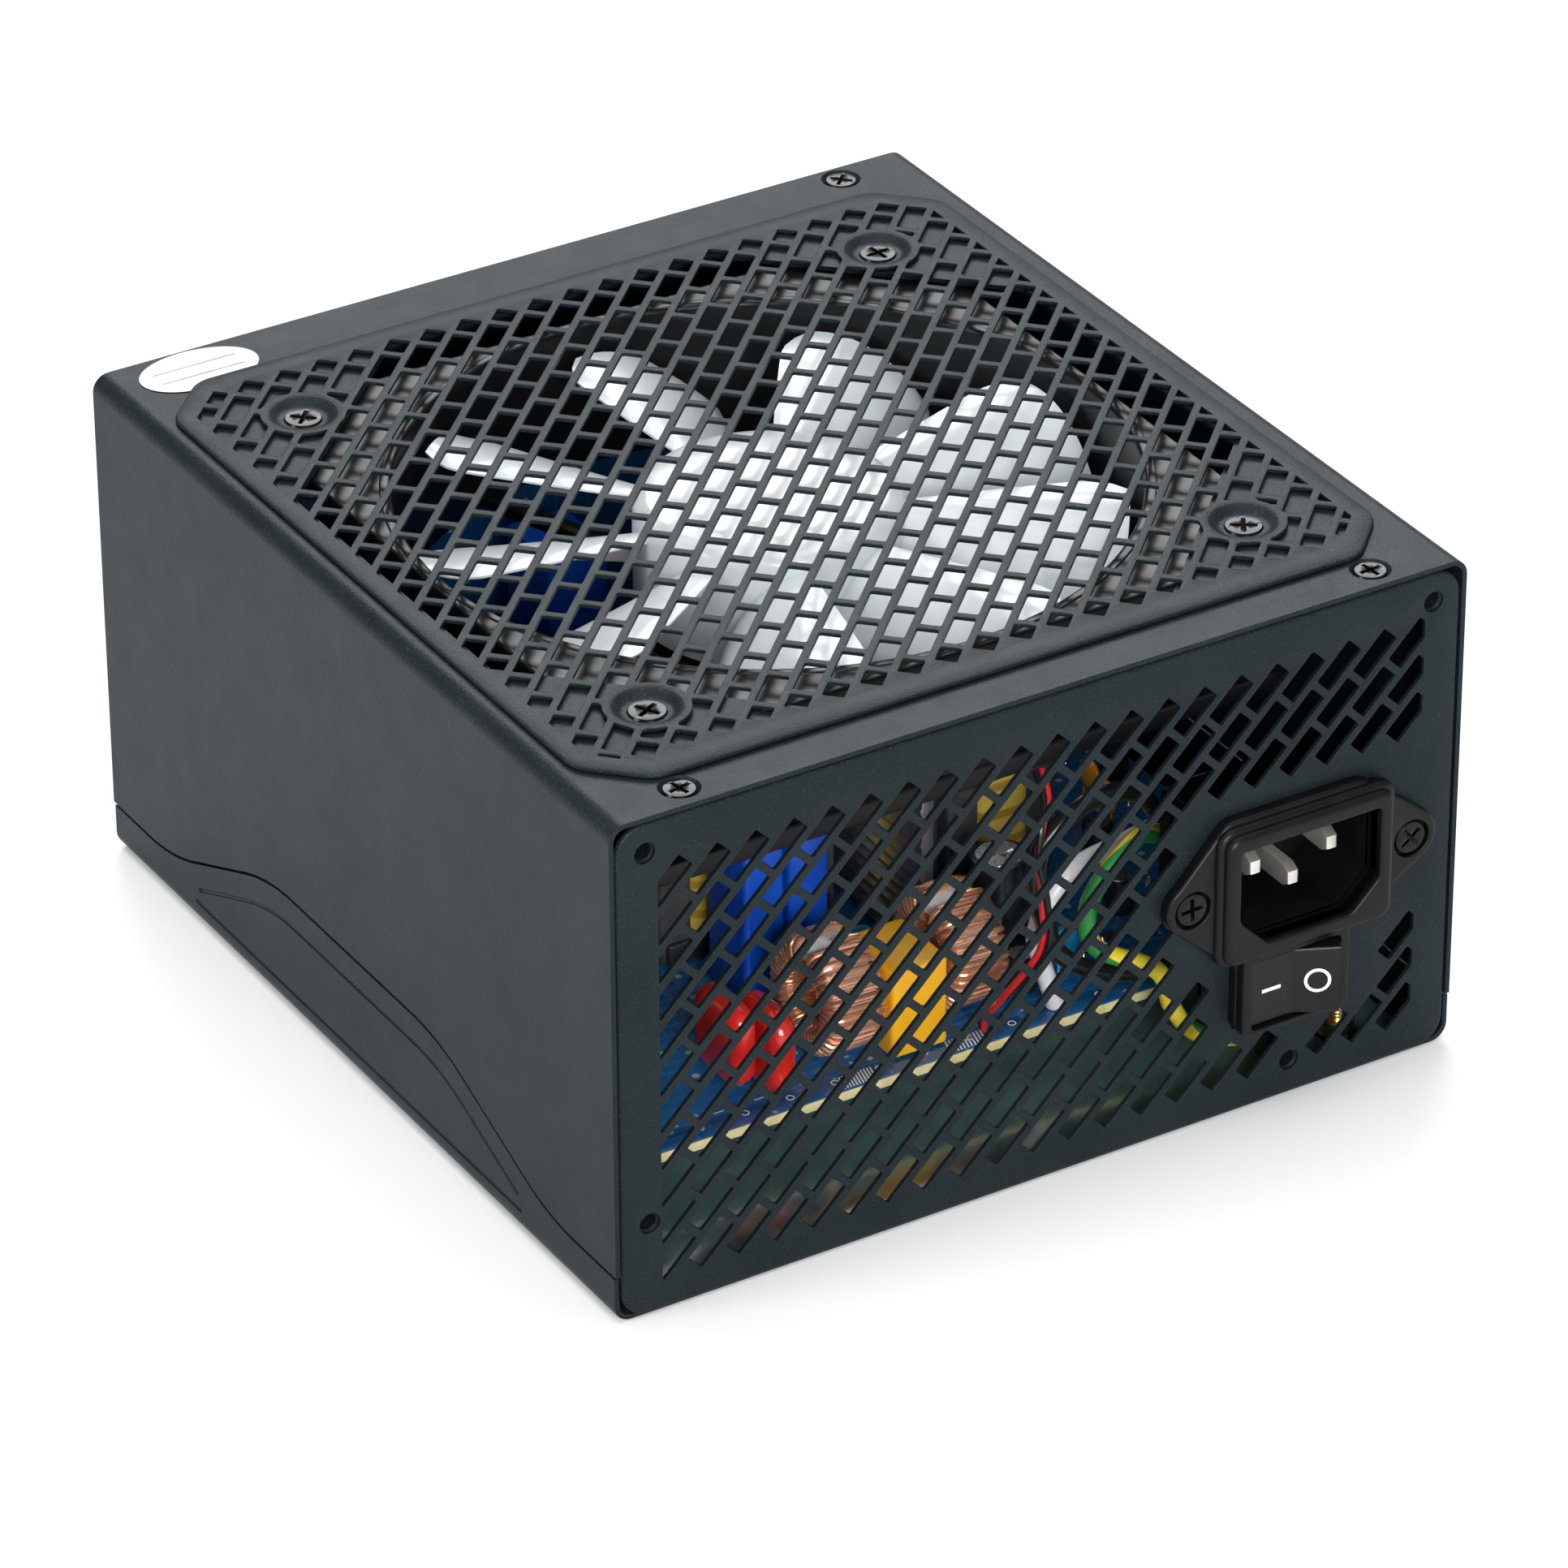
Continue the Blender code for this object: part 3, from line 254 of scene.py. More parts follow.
def shifted(loop, distance):
    """The loop moved to its left by a distance, corners kept sharp."""
    moved = []
    for before, at, after in zip(loop[-1:] + loop[:-1], loop, loop[1:] + loop[:1]):
        d1 = (Vector(at) - Vector(before)).normalized()
        d2 = (Vector(after) - Vector(at)).normalized()
        n1 = Vector((-d1.y, d1.x))
        n2 = Vector((-d2.y, d2.x))
        reach = (n1 + n2) / max(0.4, 1 + n1.dot(n2))
        moved.append((at[0] + reach.x * distance, at[1] + reach.y * distance))
    return moved


def clipped(loop, normal, limit):
    """What is left of a convex loop where normal . point is at most limit."""
    kept = []
    for a, b in zip(loop, loop[1:] + loop[:1]):
        da = a[0] * normal[0] + a[1] * normal[1] - limit
        db = b[0] * normal[0] + b[1] * normal[1] - limit
        if da <= 0:
            kept.append(a)
        if da * db < 0:
            t = da / (da - db)
            kept.append((a[0] + (b[0] - a[0]) * t, a[1] + (b[1] - a[1]) * t))
    return kept


def cut_by_disc(loop, cu, cv, radius):
    """A convex loop with the part inside a disc replaced by the disc's own edge."""
    step = 0.6
    dense = []
    for a, b in zip(loop, loop[1:] + loop[:1]):
        count = max(1, ceil(hypot(b[0] - a[0], b[1] - a[1]) / step))
        dense += [(a[0] + (b[0] - a[0]) * i / count, a[1] + (b[1] - a[1]) * i / count) for i in range(count)]
    inside = [hypot(u - cu, v - cv) < radius for u, v in dense]
    if not any(inside):
        return loop
    if all(inside):
        return []
    turn = next(i for i in range(len(dense)) if inside[i - 1] and not inside[i])
    ordered = dense[turn:] + dense[:turn]
    kept = [p for p in ordered if hypot(p[0] - cu, p[1] - cv) >= radius]
    start = atan2(kept[-1][1] - cv, kept[-1][0] - cu)
    sweep = (atan2(kept[0][1] - cv, kept[0][0] - cu) - start + pi) % (2 * pi) - pi
    count = max(2, ceil(abs(sweep) * radius / step))
    edge = [(cu + radius * cos(start + sweep * i / count), cv + radius * sin(start + sweep * i / count))
            for i in range(1, count)]
    return kept + edge


def brick(cu, cv, low_half=True, high_half=True):
    """One slot's outline at 45 degrees; either half can be left out, cut square at the centre."""
    half_length = BRICK_LENGTH / 2
    ends = (-half_length if low_half else 0.0, half_length if high_half else 0.0)
    flat = rounded(ends[0], ends[1], -BRICK_WIDTH / 2, BRICK_WIDTH / 2, BRICK_CORNER, 2)
    diagonal = 1 / sqrt(2)
    return [(cu + (s - t) * diagonal, cv + (s + t) * diagonal) for s, t in flat]


# ---------------------------------------------------------------- shapes, as (points, faces)

def merged(*parts):
    """Several parts as one."""
    points, faces = [], []
    for some_points, some_faces in parts:
        start = len(points)
        points += some_points
        faces += [[i + start for i in face] for face in some_faces]
    return points, faces


def transformed(part, matrix):
    return [matrix @ Vector(p) for p in part[0]], part[1]


def filled(loops):
    """Triangles of the first loop less the others, as indices into all the loops' points in order."""
    points = [Vector(p) for loop in loops for p in loop]
    outlines, start = [], 0
    for loop in loops:
        indices = list(range(start, start + len(loop)))
        outlines.append(indices if area(loop) > 0 else indices[::-1])
        start += len(loop)
    _, _, faces, origins, _, owners = delaunay_2d_cdt(points, [], outlines, 1, 1e-6)
    return [[origins[i][0] for i in face] for face, owner in zip(faces, owners) if list(owner) == [0]]


FACINGS = {
    "up": lambda u, v, h: (u, v, h),
    "rear": lambda u, v, h: (u, -h, v),
    "front": lambda u, v, h: (u, h, v),
    "right": lambda u, v, h: (h, u, v),
}


def plate(outer, holes, low, high, facing="up", edge=0.1, back_edge=0.05, hole_edge=0.06, steps=2):
    """A sheet or block with holes and rounded edges; heights run from its back to its face."""
    loops = [(outer if area(outer) > 0 else outer[::-1], edge)]
    for hole in holes:
        loops.append((hole if area(hole) < 0 else hole[::-1], hole_edge))
    levels = 2 * (steps + 1)
    points, faces, rings = [], [], []
    to_world = FACINGS[facing]
    for loop, front in loops:
        back = min(back_edge, front)
        course = []
        for i in range(steps + 1):
            t = i / steps * pi / 2
            course.append((back * (1 - sin(t)), low + back * (1 - cos(t))))
        for i in range(steps, -1, -1):
            t = i / steps * pi / 2
            course.append((front * (1 - sin(t)), high - front * (1 - cos(t))))
        ring = []
        for inset, height in course:
            ring.append(len(points))
            points += [to_world(u, v, height) for u, v in shifted(loop, inset)]
        rings.append(ring)
        count = len(loop)
        for lower, upper in zip(ring, ring[1:]):
            for i in range(count):
                j = (i + 1) % count
                faces.append([lower + i, lower + j, upper + j, upper + i])
    triangles = filled([shifted(loop, front) for loop, front in loops])
    owner = [(k, i) for k, (loop, _) in enumerate(loops) for i in range(len(loop))]
    for level, order in ((0, -1), (levels - 1, 1)):
        for triangle in triangles:
            faces.append([rings[owner[i][0]][level] + owner[i][1] for i in triangle[::order]])
    return points, faces


def block(x, y, z, edge=0.6, corner=1.0, steps=3):
    """A box with rounded edges all round."""
    outline = rounded(x[0], x[1], y[0], y[1], corner, 4)
    return plate(outline, [], z[0], z[1], edge=edge, back_edge=edge, steps=steps)


def revolved(profile, centre=(0, 0, 0), axis="Z", steps=48):
    """A round piece from (radius, height) points; a radius of 0 closes an end."""
    points, faces, rings = [], [], []
    for radius, height in profile:
        if radius == 0:
            rings.append([len(points)] * steps)
            points.append((0.0, 0.0, height))
            continue
        rings.append(list(range(len(points), len(points) + steps)))
        points += [(u, v, height) for u, v in circle(0, 0, radius, steps)]
    for lower, upper in zip(rings, rings[1:] + rings[:1]):
        for i in range(steps):
            j = (i + 1) % steps
            face = list(dict.fromkeys((lower[i], lower[j], upper[j], upper[i])))
            if len(face) > 2:
                faces.append(face)
    turn = {"Z": (0, 1, 2), "Y": (0, 2, 1), "X": (2, 0, 1)}[axis]
    placed = [tuple(centre[k] + p[turn[k]] for k in range(3)) for p in points]
    return placed, faces


def sheet_faces(rows, row_length):
    """Faces of a thin closed sheet: its face's grid of points, its back's, and the rim between them."""
    faces = []
    back = rows * row_length
    for i in range(rows - 1):
        for k in range(row_length - 1):
            a = i * row_length + k
            faces.append([a, a + 1, a + row_length + 1, a + row_length])
            faces.append([a + back, a + row_length + back, a + row_length + 1 + back, a + 1 + back])
    rim = list(range(row_length))
    rim += [i * row_length + row_length - 1 for i in range(1, rows)]
    rim += [(rows - 1) * row_length + k for k in range(row_length - 2, -1, -1)]
    rim += [i * row_length for i in range(rows - 2, 0, -1)]
    faces += [[a, b, b + back, a + back] for a, b in zip(rim, rim[1:] + rim[:1])]
    return faces


def eased(route, step=1.2):
    """Points on a smooth curve through the route."""
    knots = [Vector(p) for p in route]
    padded = [2 * knots[0] - knots[1]] + knots + [2 * knots[-1] - knots[-2]]
    course = []
    for a, b, c, d in zip(padded, padded[1:], padded[2:], padded[3:]):
        count = max(2, ceil((c - b).length / step))
        for i in range(count):
            t = i / count
            course.append(0.5 * (2 * b + (c - a) * t + (2 * a - 5 * b + 4 * c - d) * t * t
                                 + (3 * b - a - 3 * c + d) * t ** 3))
    return course + [knots[-1]]


def tube(course, radius, sides=12, first_side=0, side_count=None):
    """A closed tube along a course, or only the strip of it between two of its sides, turned slowly."""
    course = [Vector(p) for p in course]
    strip = side_count is not None
    reach = side_count + 1 if strip else sides
    points, faces = [], []
    heading = (course[1] - course[0]).normalized()
    across = heading.orthogonal().normalized()
    for i, at in enumerate(course):
        ahead = course[min(i + 1, len(course) - 1)] - course[max(i - 1, 0)]
        turn = heading.rotation_difference(ahead)
        across = (turn @ across).normalized()
        heading = ahead.normalized()
        up = heading.cross(across)
        for k in range(reach):
            angle = 2 * pi * (first_side + k) / sides + (0.12 * i if strip else 0.0)
            points.append(at + radius * (across * cos(angle) + up * sin(angle)))
    for i in range(len(course) - 1):
        a, b = i * reach, (i + 1) * reach
        for k in range(reach - 1 if strip else reach):
            n = (k + 1) % reach
            faces.append([a + k, a + n, b + n, b + k])
    if not strip:
        faces.append(list(range(reach))[::-1])
        faces.append([len(points) - reach + k for k in range(reach)])
    return points, faces


# ---------------------------------------------------------------- materials

# Darker colour, lighter colour, mottle scale, roughness from and to, metallic, bump, bump scale
FINISHES = {
    "case_paint": ((0.0052, 0.0082, 0.01), (0.0078, 0.0114, 0.0136), 60.0, 0.36, 0.48, 0.0, 0.8, 2400.0),
    "black_screw": ((0.006, 0.006, 0.007), (0.014, 0.014, 0.015), 300.0, 0.14, 0.26, 0.75, 0.05, 900.0),
    "sticker": ((0.5, 0.5, 0.5), (0.58, 0.58, 0.57), 120.0, 0.5, 0.62, 0.0, 0.04, 1500.0),
    "black_plastic": ((0.0022, 0.0022, 0.0025), (0.0042, 0.0042, 0.0046), 150, 0.34, 0.46, 0, 0.14, 2200),
    "rocker_plastic": ((0.0025, 0.0025, 0.0028), (0.0045, 0.0045, 0.005), 150, 0.26, 0.36, 0, 0.08, 1800),
    "pin_metal": ((0.5, 0.49, 0.45), (0.7, 0.68, 0.64), 200.0, 0.3, 0.44, 0.8, 0.05, 700.0),
    "fan_black": ((0.003, 0.003, 0.0036), (0.006, 0.006, 0.007), 120.0, 0.3, 0.44, 0.0, 0.08, 900.0),
    "fan_white": ((0.68, 0.71, 0.73), (0.75, 0.78, 0.8), 40.0, 0.26, 0.36, 0.0, 0.02, 400.0),
    "steel": ((0.5, 0.5, 0.5), (0.7, 0.7, 0.7), 300.0, 0.2, 0.32, 1.0, 0.05, 900.0),
    "copper": ((0.8, 0.36, 0.2), (0.94, 0.52, 0.34), 120.0, 0.2, 0.32, 0.75, 0.02, 1200.0),
    "board_blue": ((0.006, 0.075, 0.23), (0.012, 0.12, 0.34), 90.0, 0.2, 0.32, 0.0, 0.06, 900.0),
    "board_edge": ((0.62, 0.55, 0.26), (0.78, 0.71, 0.4), 400.0, 0.5, 0.65, 0.0, 0.2, 1500.0),
    "clear_film": ((0.8, 0.86, 0.9), (0.92, 0.95, 0.97), 60.0, 0.03, 0.09, 0.0, 0.03, 60.0),
    # The base film is clear; its dark teal colour is a painted reflection of the teal it shows
    "base_film_painted_reflection": ((0.05, 0.1, 0.1), (0.08, 0.145, 0.14), 60.0, 0.1, 0.18, 0.0, 0.03, 60.0),
    "brass": ((0.55, 0.42, 0.2), (0.75, 0.6, 0.34), 300.0, 0.2, 0.35, 1.0, 0.05, 900.0),
    "aluminium": ((0.5, 0.52, 0.55), (0.68, 0.7, 0.73), 200.0, 0.26, 0.42, 1.0, 0.08, 600.0),
    "capacitor_sleeve": ((0.008, 0.009, 0.012), (0.02, 0.022, 0.028), 90.0, 0.2, 0.3, 0.0, 0.04, 500.0),
    "capacitor_can": ((0.6, 0.6, 0.6), (0.78, 0.78, 0.79), 250.0, 0.22, 0.34, 1.0, 0.04, 900.0),
    "red_epoxy": ((0.5, 0.012, 0.01), (0.72, 0.03, 0.02), 120.0, 0.12, 0.22, 0.0, 0.1, 260.0),
    "yellow_plastic": ((0.88, 0.42, 0.008), (0.96, 0.52, 0.02), 90.0, 0.28, 0.4, 0.0, 0.03, 800.0),
    "blue_plastic": ((0.004, 0.055, 0.42), (0.008, 0.1, 0.6), 90.0, 0.22, 0.34, 0.0, 0.04, 700.0),
    "transformer": ((0.62, 0.42, 0.06), (0.8, 0.58, 0.12), 120.0, 0.24, 0.36, 0.0, 0.08, 400.0),
    "ferrite": ((0.03, 0.03, 0.032), (0.06, 0.06, 0.062), 400.0, 0.42, 0.6, 0.0, 0.25, 1500.0),
    "chip_black": ((0.012, 0.012, 0.013), (0.025, 0.025, 0.026), 300.0, 0.4, 0.55, 0.0, 0.15, 1400.0),
    "socket_plastic": ((0.006, 0.006, 0.007), (0.012, 0.012, 0.013), 200.0, 0.3, 0.42, 0.0, 0.08, 1600.0),
    "wire_black": ((0.005, 0.005, 0.005), (0.012, 0.012, 0.013), 150.0, 0.22, 0.34, 0.0, 0.04, 500.0),
    "wire_white": ((0.76, 0.76, 0.78), (0.88, 0.88, 0.9), 150.0, 0.26, 0.38, 0.0, 0.04, 500.0),
    "wire_green": ((0.02, 0.2, 0.04), (0.04, 0.3, 0.07), 150.0, 0.24, 0.36, 0.0, 0.04, 500.0),
    "wire_yellow": ((0.8, 0.6, 0.03), (0.92, 0.74, 0.06), 150.0, 0.24, 0.36, 0.0, 0.04, 500.0),
    "wire_red": ((0.5, 0.008, 0.012), (0.7, 0.02, 0.03), 150.0, 0.24, 0.36, 0.0, 0.04, 500.0),
    "core_white": ((0.72, 0.74, 0.76), (0.86, 0.88, 0.9), 200.0, 0.35, 0.5, 0.0, 0.1, 700.0),
    "orange_epoxy": ((0.72, 0.24, 0.01), (0.85, 0.34, 0.02), 200.0, 0.18, 0.3, 0.0, 0.08, 500.0),
    "sky_epoxy": ((0.01, 0.28, 0.62), (0.02, 0.38, 0.75), 200.0, 0.18, 0.3, 0.0, 0.08, 500.0),
    "print_white": ((0.72, 0.78, 0.8), (0.86, 0.9, 0.9), 300.0, 0.45, 0.6, 0.0, 0.05, 900.0),
    "mark_white": ((0.62, 0.76, 0.84), (0.74, 0.86, 0.92), 300.0, 0.4, 0.5, 0.0, 0.03, 900.0),
    "mark_grey": ((0.2, 0.2, 0.22), (0.28, 0.28, 0.3), 300.0, 0.5, 0.6, 0.0, 0.03, 900.0),
    "solder": ((0.6, 0.6, 0.6), (0.8, 0.8, 0.8), 300.0, 0.18, 0.32, 1.0, 0.05, 900.0),
    "floor": ((0.69, 0.69, 0.69), (0.72, 0.72, 0.72), 4.0, 0.8, 0.9, 0.0, 0.01, 40.0),
}

# Finishes of other names, each with the finish it belongs to; only looked up, nothing is done with it
SLOTS = {
    "base_film_painted_reflection": "clear_film", "board_edge": "board_blue", "ferrite": "transformer",
    "wire_yellow": "wire_green", "core_white": "copper", "orange_epoxy": "board_blue",
    "sky_epoxy": "board_blue", "print_white": "board_blue", "solder": "board_blue",
    "mark_white": "rocker_plastic", "mark_grey": "sticker",
}

# Values that are the same all over a finish, set on the shader's own sockets
EXTRAS = {
    "case_paint": {"Specular IOR Level": 0.13, "Specular Tint": (0.74, 0.92, 1.0, 1.0)},
    "sticker": {"Coat Weight": 0.3, "Coat Roughness": 0.25},
    "black_plastic": {"Specular IOR Level": 0.18},
    "rocker_plastic": {"Specular IOR Level": 0.25},
    "fan_black": {"Specular IOR Level": 0.3},
    "fan_white": {"Subsurface Weight": 0.25, "Subsurface Scale": 0.004, "Coat Weight": 0.4,
                  "Coat Roughness": 0.12},
    "board_blue": {"Coat Weight": 0.5, "Coat Roughness": 0.15},
    "clear_film": {"Transmission Weight": 0.94, "IOR": 1.4},
    "base_film_painted_reflection": {"Specular IOR Level": 1.0},
    "red_epoxy": {"Coat Weight": 0.6, "Coat Roughness": 0.08},
    "copper": {"Coat Weight": 0.5, "Coat Roughness": 0.1},
}


def texture(material, kind, where, settings):
    """A texture node in object coordinates, with its sockets set."""
    node = material.node_tree.nodes.new(kind)
    for socket, value in settings.items():
        node.inputs[socket].default_value = value
    material.node_tree.links.new(where.outputs["Object"], node.inputs["Vector"])
    return node


def finish(name):
    """The named material: mottled colour, uneven gloss and fine relief, all in object coordinates."""
    title = f"{name}_finish"
    if title in bpy.data.materials:
        return bpy.data.materials[title]
    dark, light, mottle, rough_low, rough_high, metallic, bump, bump_scale = FINISHES[name]
    made = bpy.data.materials.new(title)
    made.use_nodes = True
    nodes, links = made.node_tree.nodes, made.node_tree.links
    shader = nodes["Principled BSDF"]
    where = nodes.new("ShaderNodeTexCoord")

    def noise(scale, detail):
        node = texture(made, "ShaderNodeTexNoise", where, {"Scale": scale, "Detail": detail})
        return node.outputs["Fac"]

    broad = noise(mottle, 4.0)
    colours = nodes.new("ShaderNodeValToRGB")
    for stop, position, colour in zip(colours.color_ramp.elements, (0.32, 0.68), (dark, light)):
        stop.position = position
        stop.color = (*colour, 1.0)
    links.new(broad, colours.inputs["Fac"])
    links.new(colours.outputs["Color"], shader.inputs["Base Color"])
    gloss = nodes.new("ShaderNodeMapRange")
    gloss.inputs["To Min"].default_value = rough_low
    gloss.inputs["To Max"].default_value = rough_high
    links.new(noise(mottle * 3, 3.0), gloss.inputs["Value"])
    links.new(gloss.outputs["Result"], shader.inputs["Roughness"])
    relief = nodes.new("ShaderNodeBump")
    relief.inputs["Strength"].default_value = bump
    relief.inputs["Distance"].default_value = 0.0001
    links.new(noise(bump_scale, 2.0), relief.inputs["Height"])
    links.new(relief.outputs["Normal"], shader.inputs["Normal"])
    shader.inputs["Metallic"].default_value = metallic
    for socket, value in EXTRAS.get(name, {}).items():
        shader.inputs[socket].default_value = value
    if name in PATTERNS:
        PATTERNS[name](made, where, colours.outputs["Color"])
    return made


def overlay(material, base, mask, colour):
    """Paints a colour over the base colour wherever the mask is 1."""
    nodes, links = material.node_tree.nodes, material.node_tree.links
    mix = nodes.new("ShaderNodeMixRGB")
    links.new(mask, mix.inputs["Fac"])
    links.new(base, mix.inputs["Color1"])
    mix.inputs["Color2"].default_value = (*colour, 1.0)
    links.new(mix.outputs["Color"], nodes["Principled BSDF"].inputs["Base Color"])
    return mix.outputs["Color"]


def above(material, value, limit, softness):
    """1 where the value is over the limit, 0 below it; the other way round for a negative softness."""
    nodes, links = material.node_tree.nodes, material.node_tree.links
    step = nodes.new("ShaderNodeMapRange")
    step.inputs["From Min"].default_value = limit - softness
    step.inputs["From Max"].default_value = limit + softness
    links.new(value, step.inputs["Value"])
    return step.outputs["Result"]


def glint_flecked(material, where, base):
    """Powder coat: scattered pale flecks far finer than a millimetre, painted into the colour as glints of
    the coat's sparkle.
    """
    glint_grains = texture(material, "ShaderNodeTexNoise", where, {"Scale": 3200.0, "Detail": 1.0})
    # Pale flecks painted over the paint's colour: painted glints standing in for the coat's sparkle
    overlay(material, base, above(material, glint_grains.outputs["Fac"], 0.68, 0.06), (0.026, 0.033, 0.037))


def traced(material, where, base):
    """Circuit board: paler copper tracks with round pads among them."""
    tracks = texture(material, "ShaderNodeTexBrick", where,
                     {"Scale": 150.0, "Mortar Size": 0.035, "Brick Width": 0.9, "Row Height": 0.34})
    painted = overlay(material, base, tracks.outputs["Fac"], (0.025, 0.13, 0.3))
    pads = texture(material, "ShaderNodeTexVoronoi", where, {"Scale": 260.0})
    overlay(material, painted, above(material, pads.outputs["Distance"], 0.16, -0.02), (0.3, 0.38, 0.4))


def banded(material, where, base):
    """Layers of tape round a winding."""
    layers = texture(material, "ShaderNodeTexWave", where, {"Scale": 60.0, "Distortion": 0.6})
    layers.bands_direction = "Z"
    overlay(material, base, above(material, layers.outputs["Fac"], 0.82, 0.08), (0.42, 0.26, 0.03))


PATTERNS = {"case_paint": glint_flecked, "board_blue": traced, "transformer": banded}


# ---------------------------------------------------------------- pieces

def mesh_of(name, part, weld=False):
    """A mesh in metres from a part in millimetres, its normals outwards."""
    mesh = bpy.data.meshes.new(name)
    mesh.from_pydata([Vector(p) * MM for p in part[0]], [], part[1])
    bm = bmesh.new()
    bm.from_mesh(mesh)
    if weld:
        bmesh.ops.remove_doubles(bm, verts=bm.verts, dist=1e-7)
    bmesh.ops.recalc_face_normals(bm, faces=bm.faces)
    bm.to_mesh(mesh)
    bm.free()
    return mesh


def piece(name, part, finish_name, nodes=(), body="case", smooth=35):
    """Makes an object from a part in millimetres, rides it on its body and hides the CAD nodes it takes the
    place of.
    """
    mesh = mesh_of(name, part, weld=True)
    mesh.materials.append(finish(finish_name))
    mesh.shade_smooth()
    mesh.set_sharp_from_angle(angle=radians(smooth))
    made = bpy.data.objects.new(name, mesh)
    bpy.context.scene.collection.objects.link(made)
    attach(made, body)
    SLOTS.get(finish_name, finish_name)
    if nodes:
        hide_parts(*nodes)
    return made


def cut_from(made, part):
    """Cuts a closed part in millimetres out of an object."""
    tool = bpy.data.objects.new("cutter", mesh_of("cutter", part))
    bpy.context.scene.collection.objects.link(tool)
    modifier = made.modifiers.new("Cut", "BOOLEAN")
    modifier.operation = "DIFFERENCE"
    modifier.solver = "EXACT"
    modifier.object = tool
    depsgraph = bpy.context.evaluated_depsgraph_get()
    result = bpy.data.meshes.new_from_object(made.evaluated_get(depsgraph))
    made.modifiers.clear()
    made.data = result
    bpy.data.objects.remove(tool)


def soften(made, width, segments=2, angle=40.0):
    """Rounds an object's sharp edges by a bevel, in millimetres."""
    bevel = made.modifiers.new("Edges", "BEVEL")
    bevel.width = width * MM
    bevel.segments = segments
    bevel.limit_method = "ANGLE"
    bevel.angle_limit = radians(angle)
    even = made.modifiers.new("Shading", "WEIGHTED_NORMAL")
    even.keep_sharp = True


def seam_height(y):
    """Height of the seam: straight ramps whose turns are softened by averaging nearby heights."""
    offsets = [SEAM_SOFTNESS * k / 4 for k in range(-4, 5)]
    heights = []
    for offset in offsets:
        share = (SEAM_RAMP_END - abs(y + offset)) / (SEAM_RAMP_END - SEAM_RAMP_START)
        heights.append(SEAM_LOW + (SEAM_HIGH - SEAM_LOW) * min(1.0, max(0.0, share)))
    return sum(heights) / len(heights)


def bent_sheet(half_depth, outer_z, side, seam_shift):
    """A sheet bent down or up at both sides of the case, its free edges on the seam."""
    stations = 121
    steps = 6
    points = []
    edge = HALF_W - BEND
    bend_z = outer_z - side * BEND
    for thickness in (0.0, SHEET):
        radius = BEND - thickness
        left = [(-u, bend_z + side * v) for u, v in arc(edge, 0, radius, 0, 90, steps)]
        right = [(u, bend_z + side * v) for u, v in arc(edge, 0, radius, 90, 0, steps)]
        for i in range(stations):
            y = -half_depth + 2 * half_depth * i / (stations - 1)
            free = seam_height(y) + seam_shift
            wall = HALF_W - thickness
            row = [(-wall, free)] + left + right + [(wall, free)]
            points += [(x, y, z) for x, z in row]
    return points, sheet_faces(stations, len(row))


def fan_screw_places():
    """The fan's four screws, in plan."""
    return [(FAN_X + i * FAN_SCREW_HALF, FAN_Y + j * FAN_SCREW_HALF) for j in (-1, 1) for i in (-1, 1)]


def cover():
    """Top cover: bent sheet with the fan's window, dished screw seats and countersinks."""
    made = piece("cover_shell", bent_sheet(HALF_D, COVER_Z[1], 1, SEAM_GAP / 2), "case_paint", ["top_cover"])
    top = COVER_Z[1]
    through = (top - 4, top + 4)
    cut_from(made, plate(chamfered_square(WINDOW_HALF, WINDOW_CHAMFER), [], *through))
    for x, y in fan_screw_places():
        cut_from(made, plate(circle(x, y, DISH_RADIUS + 0.4), [], *through))
    for index in range(1, 5):
        node = f"cover_screw_{index}"
        x = span(node)[0]
        head = (x[1] - x[0]) / 2 + 0.35
        seat = [(0, top + 1), (head + 0.2, top + 1), (head + 0.2, top), (head, top - 0.25), (1.8, top - 1.6),
                (1.8, top - 4), (0, top - 4)]
        cut_from(made, revolved(seat, upright(node)))
    soften(made, 0.22)


def tray():
    """Bottom tray: floor and skirts, with a pressed line round each skirt's raised middle."""
    made = piece("tray_shell", bent_sheet(HALF_D - 0.4, TRAY_Z[0], -1, -SEAM_GAP / 2), "case_paint",
                 ["bottom_tray"])
    line_low = 4.25
    inset = 5.0
    groove = 0.42
    reach = 51.0
    count = 60
    stations = [-reach + 2 * reach * i / count for i in range(count + 1)]
    for side in (-1, 1):
        x = side * (HALF_W + groove * 0.25)
        upper = [(x, y, seam_height(y) - inset) for y in stations]
        upper = [p for p in upper if p[2] > line_low + 0.3]
        lower = [(x, upper[-1][1] + 1.0, line_low), (x, upper[0][1] - 1.0, line_low)]
        cut_from(made, tube(upper, groove, 8))
        cut_from(made, tube(lower, groove, 8))
    soften(made, 0.18)


def rear_slots():
    """The rear panel's bricks, row by row, clipped by the panel's left and right limits."""
    slots = []
    for row, last in REAR_LAST_COLUMN.items():
        columns = list(range(REAR_FIRST_COLUMN, last + 1)) + list(REAR_EXTRA_COLUMNS.get(row, ()))
        if last == REAR_FULL_COLUMN:
            columns.append(REAR_FULL_COLUMN + 1)
        for column in [REAR_FIRST_COLUMN - 1] + columns:
            slot = brick(REAR_PHASE[0] + LATTICE * column, REAR_PHASE[1] + LATTICE * row)
            slot = clipped(slot, (-1, 0), -REAR_CLIP_X[0])
            slot = clipped(slot, (1, 0), REAR_CLIP_X[1])
            if len(slot) > 2 and abs(area(slot)) > MIN_SLOT_AREA["rear"]:
                slots.append(slot)
    return slots


